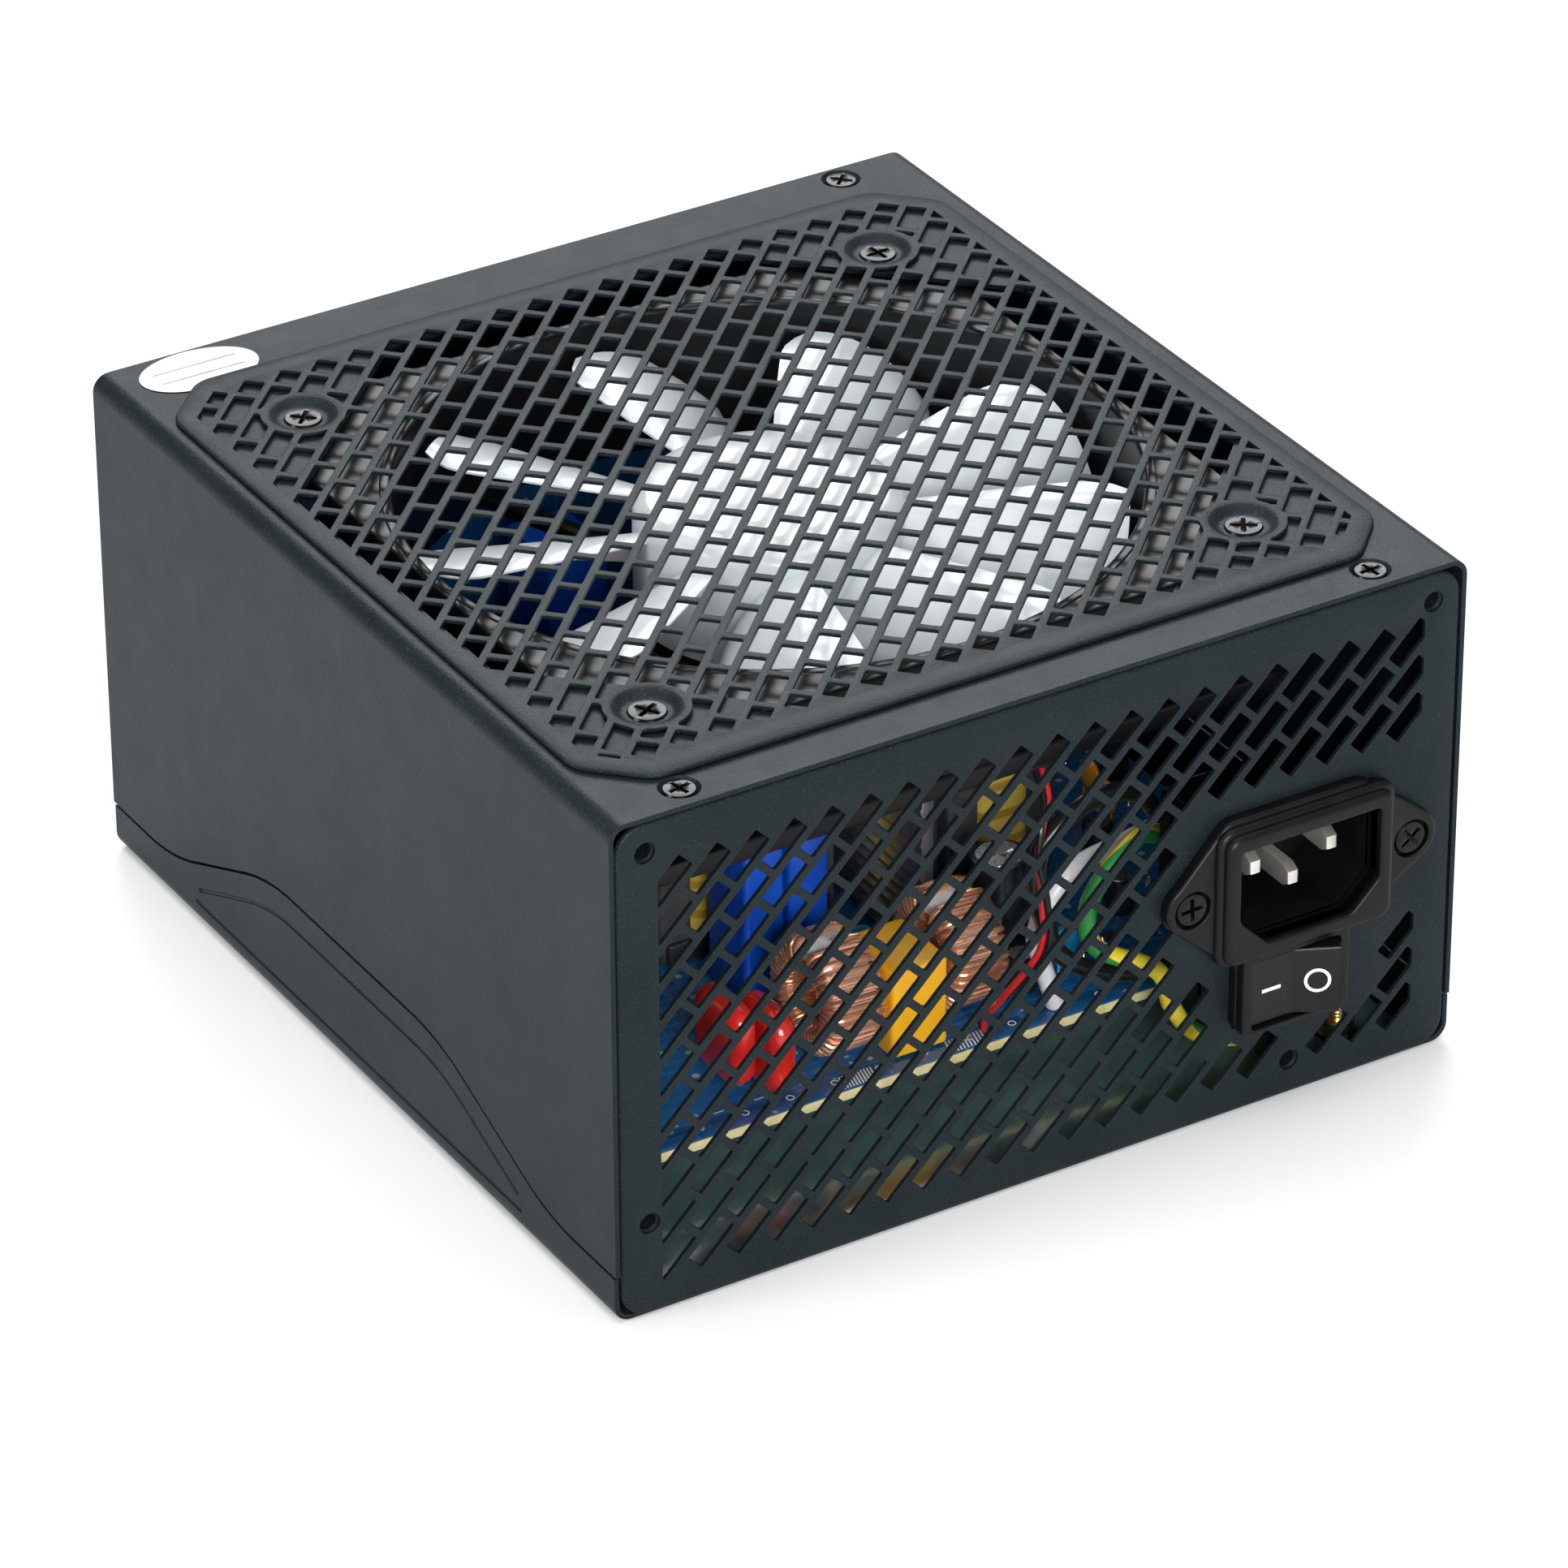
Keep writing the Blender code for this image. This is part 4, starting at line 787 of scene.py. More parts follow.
def panel_outline():
    """The end walls' outline, which fits inside the cover."""
    return rounded(-WALL_HALF_W, WALL_HALF_W, 0.2, TRAY_Z[1], WALL_CORNER, 10)


def inlet_screw_holes(radius, steps):
    """A round hole of that radius on each of the inlet's two screws."""
    return [circle(INLET_X + side * INLET_SCREW_OFFSET, INLET_Z - 0.2, radius, steps) for side in (-1, 1)]


def rear_panel():
    """Rear wall: inlet opening, slots and screw holes, a threaded collar behind each panel hole."""
    half_block, half_switch = 13.9, 9.2
    low, high = INLET_Z - 10.1, INLET_Z + 10.1
    switch_low = SWITCH_Z - 7.3
    cutout = [
        (INLET_X - half_block, high), (INLET_X + half_block, high), (INLET_X + half_block, low),
        (SWITCH_X + half_switch, low), (SWITCH_X + half_switch, switch_low),
        (SWITCH_X - half_switch, switch_low), (SWITCH_X - half_switch, low), (INLET_X - half_block, low),
    ]
    holes = [cutout] + rear_slots() + inlet_screw_holes(1.9, 16)
    holes += [circle(x, z, PANEL_HOLE_RADIUS, 24) for x, z in PANEL_HOLES]
    sheet = plate(panel_outline(), holes, HALF_D - SHEET, HALF_D, "rear", edge=0.6, hole_edge=0.09, steps=3)
    piece("rear_panel", sheet, "case_paint", ["bottom_tray"])
    collar = [(PANEL_HOLE_RADIUS, 74.5), (2.5, 74.5), (2.5, 79.4), (1.9, 79.6), (1.45, 79.1), (1.45, 74.5)]
    collars = []
    for x, z in PANEL_HOLES:
        points, faces = revolved(collar, (x, 0, z), "Y", 24)
        collars.append(([(p[0], -p[1], p[2]) for p in points], faces))
    piece("panel_threads", merged(*collars), "case_paint")


def front_panel():
    """Front wall, open round each output socket."""
    clearance = 0.4
    holes = []
    for name in OUTPUT_SOCKETS:
        x, _, z = span(name)
        holes.append(rounded(*grown(x, clearance), *grown(z, clearance), 0.5, 3))
    sheet = plate(panel_outline(), holes, HALF_D - SHEET, HALF_D, "front", edge=0.6, hole_edge=0.12, steps=3)
    piece("front_panel", sheet, "case_paint", ["bottom_tray"])


def top_slots():
    """The grille's bricks: clipped at the sides, halved at the two ends, cut round the screw seats."""
    slots = []
    reach = int(GRILLE_HALF / LATTICE) + 2
    half_tip = (BRICK_LENGTH + BRICK_WIDTH) / 2 / sqrt(2)
    for row in range(-reach, reach + 1):
        for column in range(-reach, reach + 1):
            u = TOP_PHASE[0] + LATTICE * column
            v = TOP_PHASE[1] + LATTICE * row
            if abs(v) + half_tip > TOP_LIMIT:
                if abs(v) + BRICK_WIDTH / 2 / sqrt(2) >= TOP_LIMIT:
                    continue
                slot = brick(u, v, low_half=v > 0, high_half=v < 0)
            else:
                slot = brick(u, v)
            for normal in ((1, 0), (-1, 0)):
                slot = clipped(slot, normal, TOP_CLIP)
            for normal in ((1, 1), (1, -1), (-1, 1), (-1, -1)):
                slot = clipped(slot, normal, TOP_CHAMFER_SUM)
            for i in (-1, 1):
                for j in (-1, 1):
                    if len(slot) > 2:
                        slot = cut_by_disc(slot, i * FAN_SCREW_HALF, j * FAN_SCREW_HALF, DISH_RADIUS + 0.9)
            if len(slot) > 2 and abs(area(slot)) > MIN_SLOT_AREA["top"]:
                slots.append([(FAN_X + p[0], FAN_Y + p[1]) for p in slot])
    return slots


def grille():
    """Grille plate with true bricks, rounded rim and a pressed dish round each fan screw."""
    outline = round_corners(chamfered_square(GRILLE_HALF, GRILLE_CHAMFER), 2.5)
    low, high = GRILLE_Z
    holes = top_slots() + [circle(x, y, DISH_RADIUS, 40) for x, y in fan_screw_places()]
    sheet = plate(outline, holes, low, high, edge=0.45, hole_edge=0.1, steps=2)
    face, floor_radius, hole = high - 0.02, 3.5, 1.9
    under = low - DISH_DEPTH + 0.1
    profile = [(DISH_RADIUS + 0.15, face)]
    for i in range(9):
        t = i / 8
        ease = t * t * (3 - 2 * t)
        profile.append((DISH_RADIUS - (DISH_RADIUS - floor_radius) * t, face - DISH_DEPTH * ease))
    profile += [(hole, face - DISH_DEPTH), (hole, under), (floor_radius - 0.1, under),
                (DISH_RADIUS + 0.15, low + 0.05)]
    dishes = [revolved(profile, (x, y, 0)) for x, y in fan_screw_places()]
    piece("grille_plate", merged(sheet, *dishes), "case_paint", ["fan_grille"])


def cross_recess(size, top, depth):
    """The tapered cross of a Phillips screw, to be cut out downwards."""
    wing = 0.17 * size
    outline = []
    for quarter in range(4):
        turn = Matrix.Rotation(quarter * pi / 2, 2)
        outline += [turn @ Vector(p) for p in ((wing, wing), (wing, size), (-wing, size))]
    points = [(p.x * 1.12, p.y * 1.12, top + 0.15) for p in outline]
    points += [(p.x * 0.45, p.y * 0.45, top - depth) for p in outline]
    count = len(outline)
    faces = [[i, (i + 1) % count, (i + 1) % count + count, i + count] for i in range(count)]
    faces += [list(range(count)), [i + count for i in range(count)][::-1]]
    return points, faces


def phillips(head, shank, length):
    """A black cross-head screw standing upright, its head's top at height 0."""
    rim = 0.3
    lip = 0.18
    profile = [(0, 0.0), (head - 1.0, 0.0), (head - rim, -0.06), (head - 0.08, -rim), (head, -rim - lip),
               (head - 0.1, -rim - 2 * lip), (shank, -1.5), (shank, -length), (0, -length)]
    return revolved(profile, steps=36)


def screw(name, head, shank, length, at, turn, node):
    """A cross-head screw with its recess at a random angle, turned from upright and put in its place."""
    made = piece(name, phillips(head, shank, length), "black_screw", [node])
    cut_from(made, cross_recess(0.66 * head, 0.0, 1.25))
    made.data.transform(Matrix.Rotation(random.uniform(0, pi / 2), 4, "Z"))
    made.data.transform(Matrix.Translation(Vector(at) * MM) @ turn)
    soften(made, 0.06, 1)


def screws():
    """The case's ten screws, their heads sunk a little below the CAD heads' faces."""
    upright = Matrix.Identity(4)
    for index in range(1, 5):
        for name, node, head, shank, length, sunk in (("grille", "fan", 3.1, 1.5, 9.0, 0.75),
                                                      ("lid", "cover", 2.7, 1.3, 5.0, 0.05)):
            x, y, z = span(f"{node}_screw_{index}")
            at = (middle(x), middle(y), z[1] - sunk)
            screw(f"{name}_screw_{index}", head, shank, length, at, upright, f"{node}_screw_{index}")
    for node in ("inlet_screw_left", "inlet_screw_right"):
        x, y, z = span(node)
        at = (middle(x), y[0] + 0.25, middle(z))
        screw(f"socket_{node[6:]}", 2.9, 1.4, 7.0, at, Matrix.Rotation(pi / 2, 4, "X"), node)


def sticker():
    """Oval paper seal with two thin rules on it."""
    x, y, z = span("seal_sticker")
    cx, cy = middle(x), middle(y)
    half_w, half_d = (x[1] - x[0]) / 2, (y[1] - y[0]) / 2
    face = z[1] - 0.02
    oval = [(cx + half_w * u, cy + half_d * v) for u, v in circle(0, 0, 1.0, 72)]
    piece("seal_label", plate(oval, [], z[0], face, edge=0.03), "sticker", ["seal_sticker"])
    rules = []
    for offset in (1.6, -1.6):
        rule = round_box(cx, cy + offset, 0.72 * half_w, 0.2, 0.2, 0.1, 2)
        rules.append(plate(rule, [], face, z[1], edge=0.005, back_edge=0.0))
    piece("seal_rules", merged(*rules), "mark_grey")


# ---------------------------------------------------------------- mains inlet and switch

def socket_outline():
    """The mains socket's opening: two bottom corners cut off."""
    cut = 5.0
    left, right = INLET_X - SOCKET_HALF_W, INLET_X + SOCKET_HALF_W
    low, high = INLET_Z - SOCKET_HALF_H, INLET_Z + SOCKET_HALF_H
    corners = [(left + cut, low), (right - cut, low), (right, low + cut), (right, high), (left, high),
               (left, low + cut)]
    return round_corners(corners, 0.8, 4)


def flange_outline():
    """Inlet flange: round ears on the screws, the blocks' outlines between them."""
    ear = 4.7
    left, right = INLET_X - INLET_SCREW_OFFSET, INLET_X + INLET_SCREW_OFFSET
    upper = INLET_Z + 13.2
    corners = (
        arc(right, INLET_Z, ear, -60, 60, 8)
        + [(INLET_X + 11.0, upper), (INLET_X - 14.0, upper)]
        + arc(left, INLET_Z, ear, 120, 240, 8)
        + [(INLET_X - 14.0, 29.4), (SWITCH_X - 10.0, 28.0)]
        + arc(SWITCH_X - 8.0, SWITCH_Z - 5.1, 2.0, 180, 270, 4)
        + arc(SWITCH_X + 8.0, SWITCH_Z - 5.1, 2.0, 270, 360, 4)
        + [(SWITCH_X + 10.0, 28.0), (INLET_X + 11.0, 29.4)]
    )
    return round_corners(corners, 1.6, 3)


def inlet():
    """Black moulding: flange, raised socket block and switch frame, with the socket's cup behind."""
    opening = round_box(SWITCH_X, SWITCH_Z, OPENING_HALF_W, OPENING_HALF_H, OPENING_HALF_H, 0.7, 4)
    mouth = socket_outline()
    cup = round_box(INLET_X, INLET_Z, 13.5, 9.7, 9.7, 1.0, 4)
    well = round_box(SWITCH_X, SWITCH_Z, 8.8, 6.9, 6.9, 0.8, 4)

    pin_holes = []
    for name in PINS:
        x, _, z = span(name)
        pin_holes.append(rounded(*grown(x, 0.1), *grown(z, 0.1), 0.2, 2))
    # Outline, holes, back, face, edge, hole edge and steps of each layer
    layers = (
        (flange_outline(), [mouth, opening] + inlet_screw_holes(3.2, 32), FLANGE_BACK + 0.5, FLANGE_FRONT,
         0.6, 0.2, 4),
        (shifted(flange_outline(), 0.02), [mouth, opening] + inlet_screw_holes(1.6, 32), FLANGE_BACK,
         FLANGE_BACK + 0.6, 0.02, 0.02, 2),
        (round_box(INLET_X, INLET_Z, 16.2, 12.2, 12.4, 3.0, 8), [mouth], FLANGE_FRONT - 0.6,
         FLANGE_FRONT + 1.1, 1.0, 0.05, 5),
        (round_box(INLET_X, INLET_Z, 15.3, 11.5, 11.5, 2.6, 8), [mouth], FLANGE_FRONT - 0.2, INLET_FRONT,
         1.1, 0.5, 5),
        (round_box(SWITCH_X, SWITCH_Z, 9.8, 7.0, 7.9, 1.4, 6), [opening], FLANGE_FRONT - 0.2, SWITCH_FRONT,
         0.4, 0.2, 4),
        (cup, [mouth], 66.0, FLANGE_BACK + 0.4, 0.02, 0.01, 2),
        (cup, pin_holes, 63.0, 66.5, 0.05, 0.05, 2),
        (well, [opening], 70.0, FLANGE_BACK + 0.4, 0.05, 0.02, 2),
        (well, [], 69.0, 71.0, 0.05, 0.0, 2),
    )
    parts = [plate(outline, holes, low, high, "rear", edge=edge, hole_edge=hole_edge, steps=steps)
             for outline, holes, low, high, edge, hole_edge, steps in layers]
    piece("inlet_moulding", merged(*parts), "black_plastic", ["inlet_housing"])


def pins():
    """Flat mains blades with chamfered tips."""
    tip, slope = 1.6, 0.9
    for name in PINS:
        x, y, z = span(name)
        flat = [(y[1], z[0]), (y[1], z[1]), (y[0] + tip, z[1]), (y[0], z[1] - slope), (y[0], z[0] + slope),
                (y[0] + tip, z[0])]
        part = plate(flat, [], x[0], x[1], "right", edge=0.35, back_edge=0.35, steps=3)
        piece(f"blade_{name[10:]}", part, "pin_metal", [name])


def rocker():
    """Rocker with its V face, and the two switch marks on it, pressed in on its left."""
    angle = radians(ROCKER_ANGLE)
    lip = ROCKER_VALLEY + ROCKER_HALF_W * tan(angle)
    reach = hypot(ROCKER_HALF_W, lip)
    lip_angle = atan2(lip, ROCKER_HALF_W) * 180 / pi
    inner = 35.0
    valley = [(-1.4, -ROCKER_VALLEY - 0.32), (-0.6, -ROCKER_VALLEY - 0.16), (0, -ROCKER_VALLEY - 0.12),
              (0.6, -ROCKER_VALLEY - 0.16), (1.4, -ROCKER_VALLEY - 0.32)]
    outline = (
        arc(0, 0, reach, -lip_angle, inner, 10)
        + arc(0, 0, reach, 180 - inner, 180 + lip_angle, 10)
        + valley
    )
    body = plate(outline, [], -ROCKER_HALF_H, ROCKER_HALF_H, edge=0.45, back_edge=0.45, steps=4)
    pivot = revolved([(0, -ROCKER_HALF_H - 0.5), (1.0, -ROCKER_HALF_H - 0.5), (1.0, ROCKER_HALF_H + 0.5),
                      (0, ROCKER_HALF_H + 0.5)], (0, 0.3, 0), steps=24)
    place = Matrix.Translation((SWITCH_X, PIVOT_Y, SWITCH_Z)) @ Matrix.Rotation(-angle, 4, "Z")
    piece("rocker_cap", transformed(merged(body, pivot), place), "rocker_plastic", ["rocker"], "rocker")
    middle_s = ROCKER_HALF_W / cos(angle) / 2 + 0.2
    proud = 0.03

    def on_face(side, part):
        """Lays a flat part, thin along its own Z, on one half of the V face."""
        along = Vector((cos(angle), -side * sin(angle), 0))
        out = Vector((-side * sin(angle), -cos(angle), 0))
        at = Vector((0, -ROCKER_VALLEY, 0)) + side * middle_s * along
        points = [at + along * p[0] + Vector((0, 0, p[1])) + out * p[2] for p in part[0]]
        return points, part[1]

    dash = plate(rounded(-1.7, 1.7, -0.3, 0.3, 0.1, 2), [], 0, proud, edge=0.01)
    ring = plate(circle(0, 0, 2.1, 48), [circle(0, 0, 1.6, 48)], 0, proud, edge=0.01, hole_edge=0.01)
    marks = merged(on_face(-1, dash), on_face(1, ring))
    piece("rocker_marks", transformed(marks, place), "mark_white", (), "rocker")


# ---------------------------------------------------------------- fan

def fan_housing():
    """Square fan frame: duct ring, two flanges and the four struts that carry the motor."""
    half = (span("fan_frame")[0][1] - span("fan_frame")[0][0]) / 2
    low, high = FAN_Z
    square = rounded(FAN_X - half, FAN_X + half, FAN_Y - half, FAN_Y + half, 7.0, 8)
    holes = [circle(x, y, 1.95, 20) for x, y in fan_screw_places()]
    ring = plate(circle(FAN_X, FAN_Y, half - 0.3, 120), [circle(FAN_X, FAN_Y, FAN_DUCT, 120)], low, high,
                 edge=0.3, hole_edge=0.8, steps=3)
    flanges = []
    for base in (low + 0.2, high - 3.6):
        flanges.append(plate(square, [circle(FAN_X, FAN_Y, half - 1.2, 120)] + holes, base, base + 3.4,
                             edge=0.5, back_edge=0.4, hole_edge=0.2, steps=3))
    seat = revolved([(0, low + 0.3), (20.6, low + 0.3), (21.0, low + 0.7), (21.0, low + 1.8), (0, low + 1.8)],
                    (FAN_X, FAN_Y, 0), steps=72)
    struts = []
    for quarter in range(4):
        strut = block((18.0, half - 1.0), (-1.6, 1.6), (low + 0.5, low + 2.5), 0.4, 0.5)
        turn = Matrix.Translation((FAN_X, FAN_Y, 0)) @ Matrix.Rotation(radians(20 + 90 * quarter), 4, "Z")
        struts.append(transformed(strut, turn))
    piece("fan_housing", merged(ring, seat, *flanges, *struts), "fan_black", ["fan_frame"])


def fan_blade(angle, top):
    """One blade: a thin twisted sheet, its leading edge high and the corners of its tip rounded off."""
    stations, chords, half_thick = 16, 12, 0.55
    root = HUB_RADIUS - 1.0
    points = []
    for side in (half_thick, -half_thick):
        for i in range(stations + 1):
            share = i / stations
            radius = root + (BLADE_TIP - root) * share
            round_off = max(0.0, (share - 0.8) / 0.2) ** 2
            lead = radians(angle - share * share - 4.0 * round_off)
            arc_length = radians(34.0 - 7.0 * share - 7.0 * round_off)
            crest = top - 4.0 + 1.6 * share
            for j in range(chords + 1):
                chord = j / chords
                turn = lead - arc_length * chord
                height = crest - BLADE_DROP * chord ** 2.2
                thin = 1.0 - 0.65 * abs(2 * chord - 1) ** 3
                points.append((radius * cos(turn), radius * sin(turn), height + side * thin))
    return points, sheet_faces(stations + 1, chords + 1)


def impeller():
    """White impeller: softly domed cup with nine blades."""
    hub, top = HUB_RADIUS, span("fan_impeller")[2][1]
    low = FAN_Z[0] + 3.0
    wall = 1.7
    profile = [(0, top), (hub * 0.6, top - 0.05), (hub - 2.4, top - 0.3), (hub - 1.2, top - 0.7),
               (hub - 0.4, top - 1.5), (hub, top - 2.6), (hub, low), (hub - wall, low),
               (hub - wall, top - 2.4), (3.6, top - 2.2), (3.6, top - 6.0), (1.8, top - 6.0),
               (1.8, top - 2.2), (0, top - 2.2)]
    parts = [revolved(profile, steps=96)]
    parts += [fan_blade(BLADE_LEADING_ANGLE + 360 * k / BLADE_COUNT, top) for k in range(BLADE_COUNT)]
    place = Matrix.Translation((FAN_X, FAN_Y, 0))
    piece("fan_wheel", transformed(merged(*parts), place), "fan_white", ["fan_impeller"], "fan_rotor", 50)


def fan_motor():
    """Wound stator under the hub, and the shaft."""
    x, y, z = span("fan_stator")
    radius = (x[1] - x[0]) / 2
    low, high = z
    profile = [(1.9, low), (radius - 1, low), (radius, low + 0.6), (radius, low + 2.0), (12.0, low + 3.0)]
    layers = 7
    for k in range(layers):
        base = low + 3.2 + k * 0.95
        profile += [(12.4, base), (12.9, base + 0.45), (12.4, base + 0.9)]
    profile += [(12.0, high - 3.0), (radius, high - 2.0), (radius, high - 0.6), (radius - 1, high),
                (1.9, high)]
    piece("fan_windings", revolved(profile, (middle(x), middle(y), 0)), "copper", ["fan_stator"])
    x, y, z = span("fan_shaft")
    shaft = [(0, z[0]), (1.2, z[0]), (1.5, z[0] + 0.3), (1.5, z[1] - 0.3), (1.2, z[1]), (0, z[1])]
    piece("fan_axle", revolved(shaft, (middle(x), middle(y), 0), steps=32), "steel", ["fan_shaft"],
          "fan_rotor")


# ---------------------------------------------------------------- board and its parts

def board():
    """Fibre board with its blue mask and its white print: hatching, short rules and rings."""
    holes = [circle(*upright(f"board_post_{index}")[:2], 1.6, 20) for index in range(1, 5)]
    outline = rounded(*BOARD_X, *BOARD_Y, 1.0, 4)
    low, high = BOARD_Z
    mask = 0.06
    piece("board_fibre", plate(outline, holes, low, high - mask, edge=0.05), "board_edge", ["circuit_board"])
    piece("board_mask", plate(shifted(outline, 0.15), holes, high - mask, high, edge=0.02), "board_blue")
    rear = BOARD_Y[0]
    bar_count = 11
    marks = []
    for start, end in ((-20.6, -15.0), (-1.4, 4.9)):
        for k in range(bar_count):
            x = start + (end - start) * k / (bar_count - 1)
            marks.append(([(x - 0.14, rear + 0.7), (x + 0.14, rear + 0.7), (x + 0.94, rear + 4.0),
                           (x + 0.66, rear + 4.0)], []))
    for x in range(-66, 30, 8):
        marks.append((rounded(x, x + 2.6, rear + 5.2, rear + 5.36, 0.05, 2), []))
        marks.append((circle(x + 5.0, rear + 3.0, 0.7, 16), [circle(x + 5.0, rear + 3.0, 0.5, 16)]))
    printed = [plate(mark, inner, high, high + PRINT_HEIGHT, edge=0.005, hole_edge=0.005)
               for mark, inner in marks]
    piece("board_print", merged(*printed), "print_white")


def taken_places():
    """Plan outlines of the parts that stand on the board, grown a little."""
    standing = ["film_capacitor_left", "film_capacitor_right", "x_capacitor", "input_choke_left",
                "input_choke_right", "box_capacitor_left", "box_capacitor_right", "bulk_capacitor",
                "standby_capacitor", "main_transformer", "standby_transformer", "primary_heatsink",
                "secondary_heatsink", "output_choke", "inductor_box", "output_capacitor_1",
                "output_capacitor_2", "output_capacitor_3", "output_board", "bridge_rectifier"]
    room = 1.5
    places = []
    for name in standing:
        x, y, _ = span(name)
        places.append((x[0] - room, x[1] + room, y[0] - room, y[1] + room))
    return places


def free_places(places, half, count):
    """Random free spots on the board for parts of that half size, each taken as it is given."""
    tries = 200
    for _ in range(count):
        for _ in range(tries):
            x = random.uniform(BOARD_X[0] + 4, BOARD_X[1] - 4)
            y = random.uniform(BOARD_Y[0] + 4, BOARD_Y[1] - 14)
            if all(not (a - half < x < b + half and c - half < y < d + half) for a, b, c, d in places):
                places.append((x - half, x + half, y - half, y + half))
                yield x, y
                break


def small_parts():
    """Discs, small cans, chips and solder joints in the free room on the board."""
    places = taken_places()
    top = BOARD_Z[1]
    lens = [(0, -1.1), (1.6, -1.0), (2.7, -0.4), (2.9, 0), (2.7, 0.4), (1.6, 1.0), (0, 1.1)]
    for colour, count in (("orange", 9), ("sky", 5)):
        parts = []
        for x, y in free_places(places, 2.6, count):
            parts.append(revolved(lens, (x, y, top + 5.0), random.choice("XY"), 24))
            parts += [tube([(x + s, y, top), (x + s, y, top + 3.0)], 0.3, 8) for s in (-1, 1)]
        piece(f"disc_parts_{colour}", merged(*parts), f"{colour}_epoxy")
    cans, lids = [], []
    for x, y in free_places(places, 3.0, 9):
        high = top + random.uniform(6.0, 10.0)
        sleeve = [(0, top), (2.4, top), (2.5, top + 0.5), (2.5, high - 0.4), (2.2, high), (0, high)]
        cans.append(revolved(sleeve, (x, y, 0), steps=24))
        lid = [(0, high), (2.0, high), (1.9, high + 0.08), (0, high + 0.08)]
        lids.append(revolved(lid, (x, y, 0), steps=24))
    piece("small_cans", merged(*cans), "capacitor_sleeve")
    piece("small_can_lids", merged(*lids), "capacitor_can")
    chips, joints = [], []
    pad = [(0, top), (0.5, top), (0.35, top + 0.35), (0, top + 0.5)]
    for x, y in free_places(places, 1.4, 26):
        w, d = random.choice(((1.6, 0.8), (0.8, 1.6), (2.0, 1.3)))
        chips.append(block((x - w / 2, x + w / 2), (y - d / 2, y + d / 2), (top, top + 0.7), 0.08, 0.1, 1))
        reach = (0.625 * w, 0) if w > d else (0, 0.625 * d)
        for side in (-1, 1):
            joints.append(revolved(pad, (x + side * reach[0], y + side * reach[1], 0), steps=12))
    peak = [(0, top), (0.8, top), (0.55, top + 0.3), (0.25, top + 0.9), (0, top + 1.0)]
    joints += [revolved(peak, (x, y, 0), steps=12) for x, y in free_places(places, 0.9, 40)]
    piece("small_chips", merged(*chips), "chip_black")
    piece("solder_joints", merged(*joints), "solder")


def toroid(name, node, axis, turns, wire):
    """A ring core with two copper windings, their turns side by side, and the gaps between them."""
    low_high = span(node)
    centre = Vector([middle(pair) for pair in low_high])
    along = "XYZ".index(axis)
    half_width = (low_high[along][1] - low_high[along][0]) / 2
    other = (along + 1) % 3
    outer = (low_high[other][1] - low_high[other][0]) / 2
    inner = outer * 0.46
    ring = (outer + inner) / 2
    depth = (outer - inner) / 2
    core_d, core_w = depth - 2 * wire, half_width - 2 * wire
    soft = 0.6
    profile = [(ring - core_d, -core_w + soft), (ring - core_d + soft, -core_w),
               (ring + core_d - soft, -core_w), (ring + core_d, -core_w + soft),
               (ring + core_d, core_w - soft), (ring + core_d - soft, core_w),
               (ring - core_d + soft, core_w), (ring - core_d, core_w - soft)]
    piece(f"{name}_core", revolved(profile, centre, axis, 64), "core_white")
    axes = {"X": (1, 2, 0), "Z": (0, 1, 2)}[axis]
    windings = []
    for first in (100.0, 280.0):
        sweep = 160.0
        course = []
        per_turn = 24
        for i in range(turns * per_turn + 1):
            share = i / (turns * per_turn)
            around = radians(first + sweep * share)
            loop = 2 * pi * turns * share
            bulge = 1 / (abs(cos(loop)) ** 5 + abs(sin(loop)) ** 5) ** 0.2
            radius = ring + (depth - wire) * cos(loop) * bulge
            height = (half_width - wire) * sin(loop) * bulge
            point = Vector((0, 0, 0))
            point[axes[0]] = radius * cos(around)
            point[axes[1]] = radius * sin(around)
            point[axes[2]] = height
            course.append(centre + point)
        windings.append(tube(course, wire, 10))
    piece(f"{name}_winding", merged(*windings), "copper", [node])


def can(name, node):
    """Electrolytic capacitor: sleeve with a rolled groove and a bare top scored with a cross."""
    x, _, (low, high) = span(node)
    radius = (x[1] - x[0]) / 2
    centre = upright(node)
    groove = low + min(2.6, radius * 0.45)
    sleeve = [(0, low), (radius - 0.3, low), (radius, low + 0.4), (radius, groove),
              (radius - 0.5, groove + 0.6), (radius, groove + 1.2), (radius, high - 0.8),
              (radius - 0.3, high - 0.25), (radius - 0.9, high - 0.1), (radius - 0.9, high - 0.3),
              (0, high - 0.3)]
    piece(f"{name}_sleeve", revolved(sleeve, centre), "capacitor_sleeve", [node])
    top = [(0, high - 0.4), (radius - 1.0, high - 0.4), (radius - 1.2, high - 0.1), (0, high - 0.1)]
    lid = piece(f"{name}_top", revolved(top, centre), "capacitor_can")
    cut_from(lid, transformed(cross_recess(radius * 0.62, high - 0.1, 0.15), Matrix.Translation(centre)))


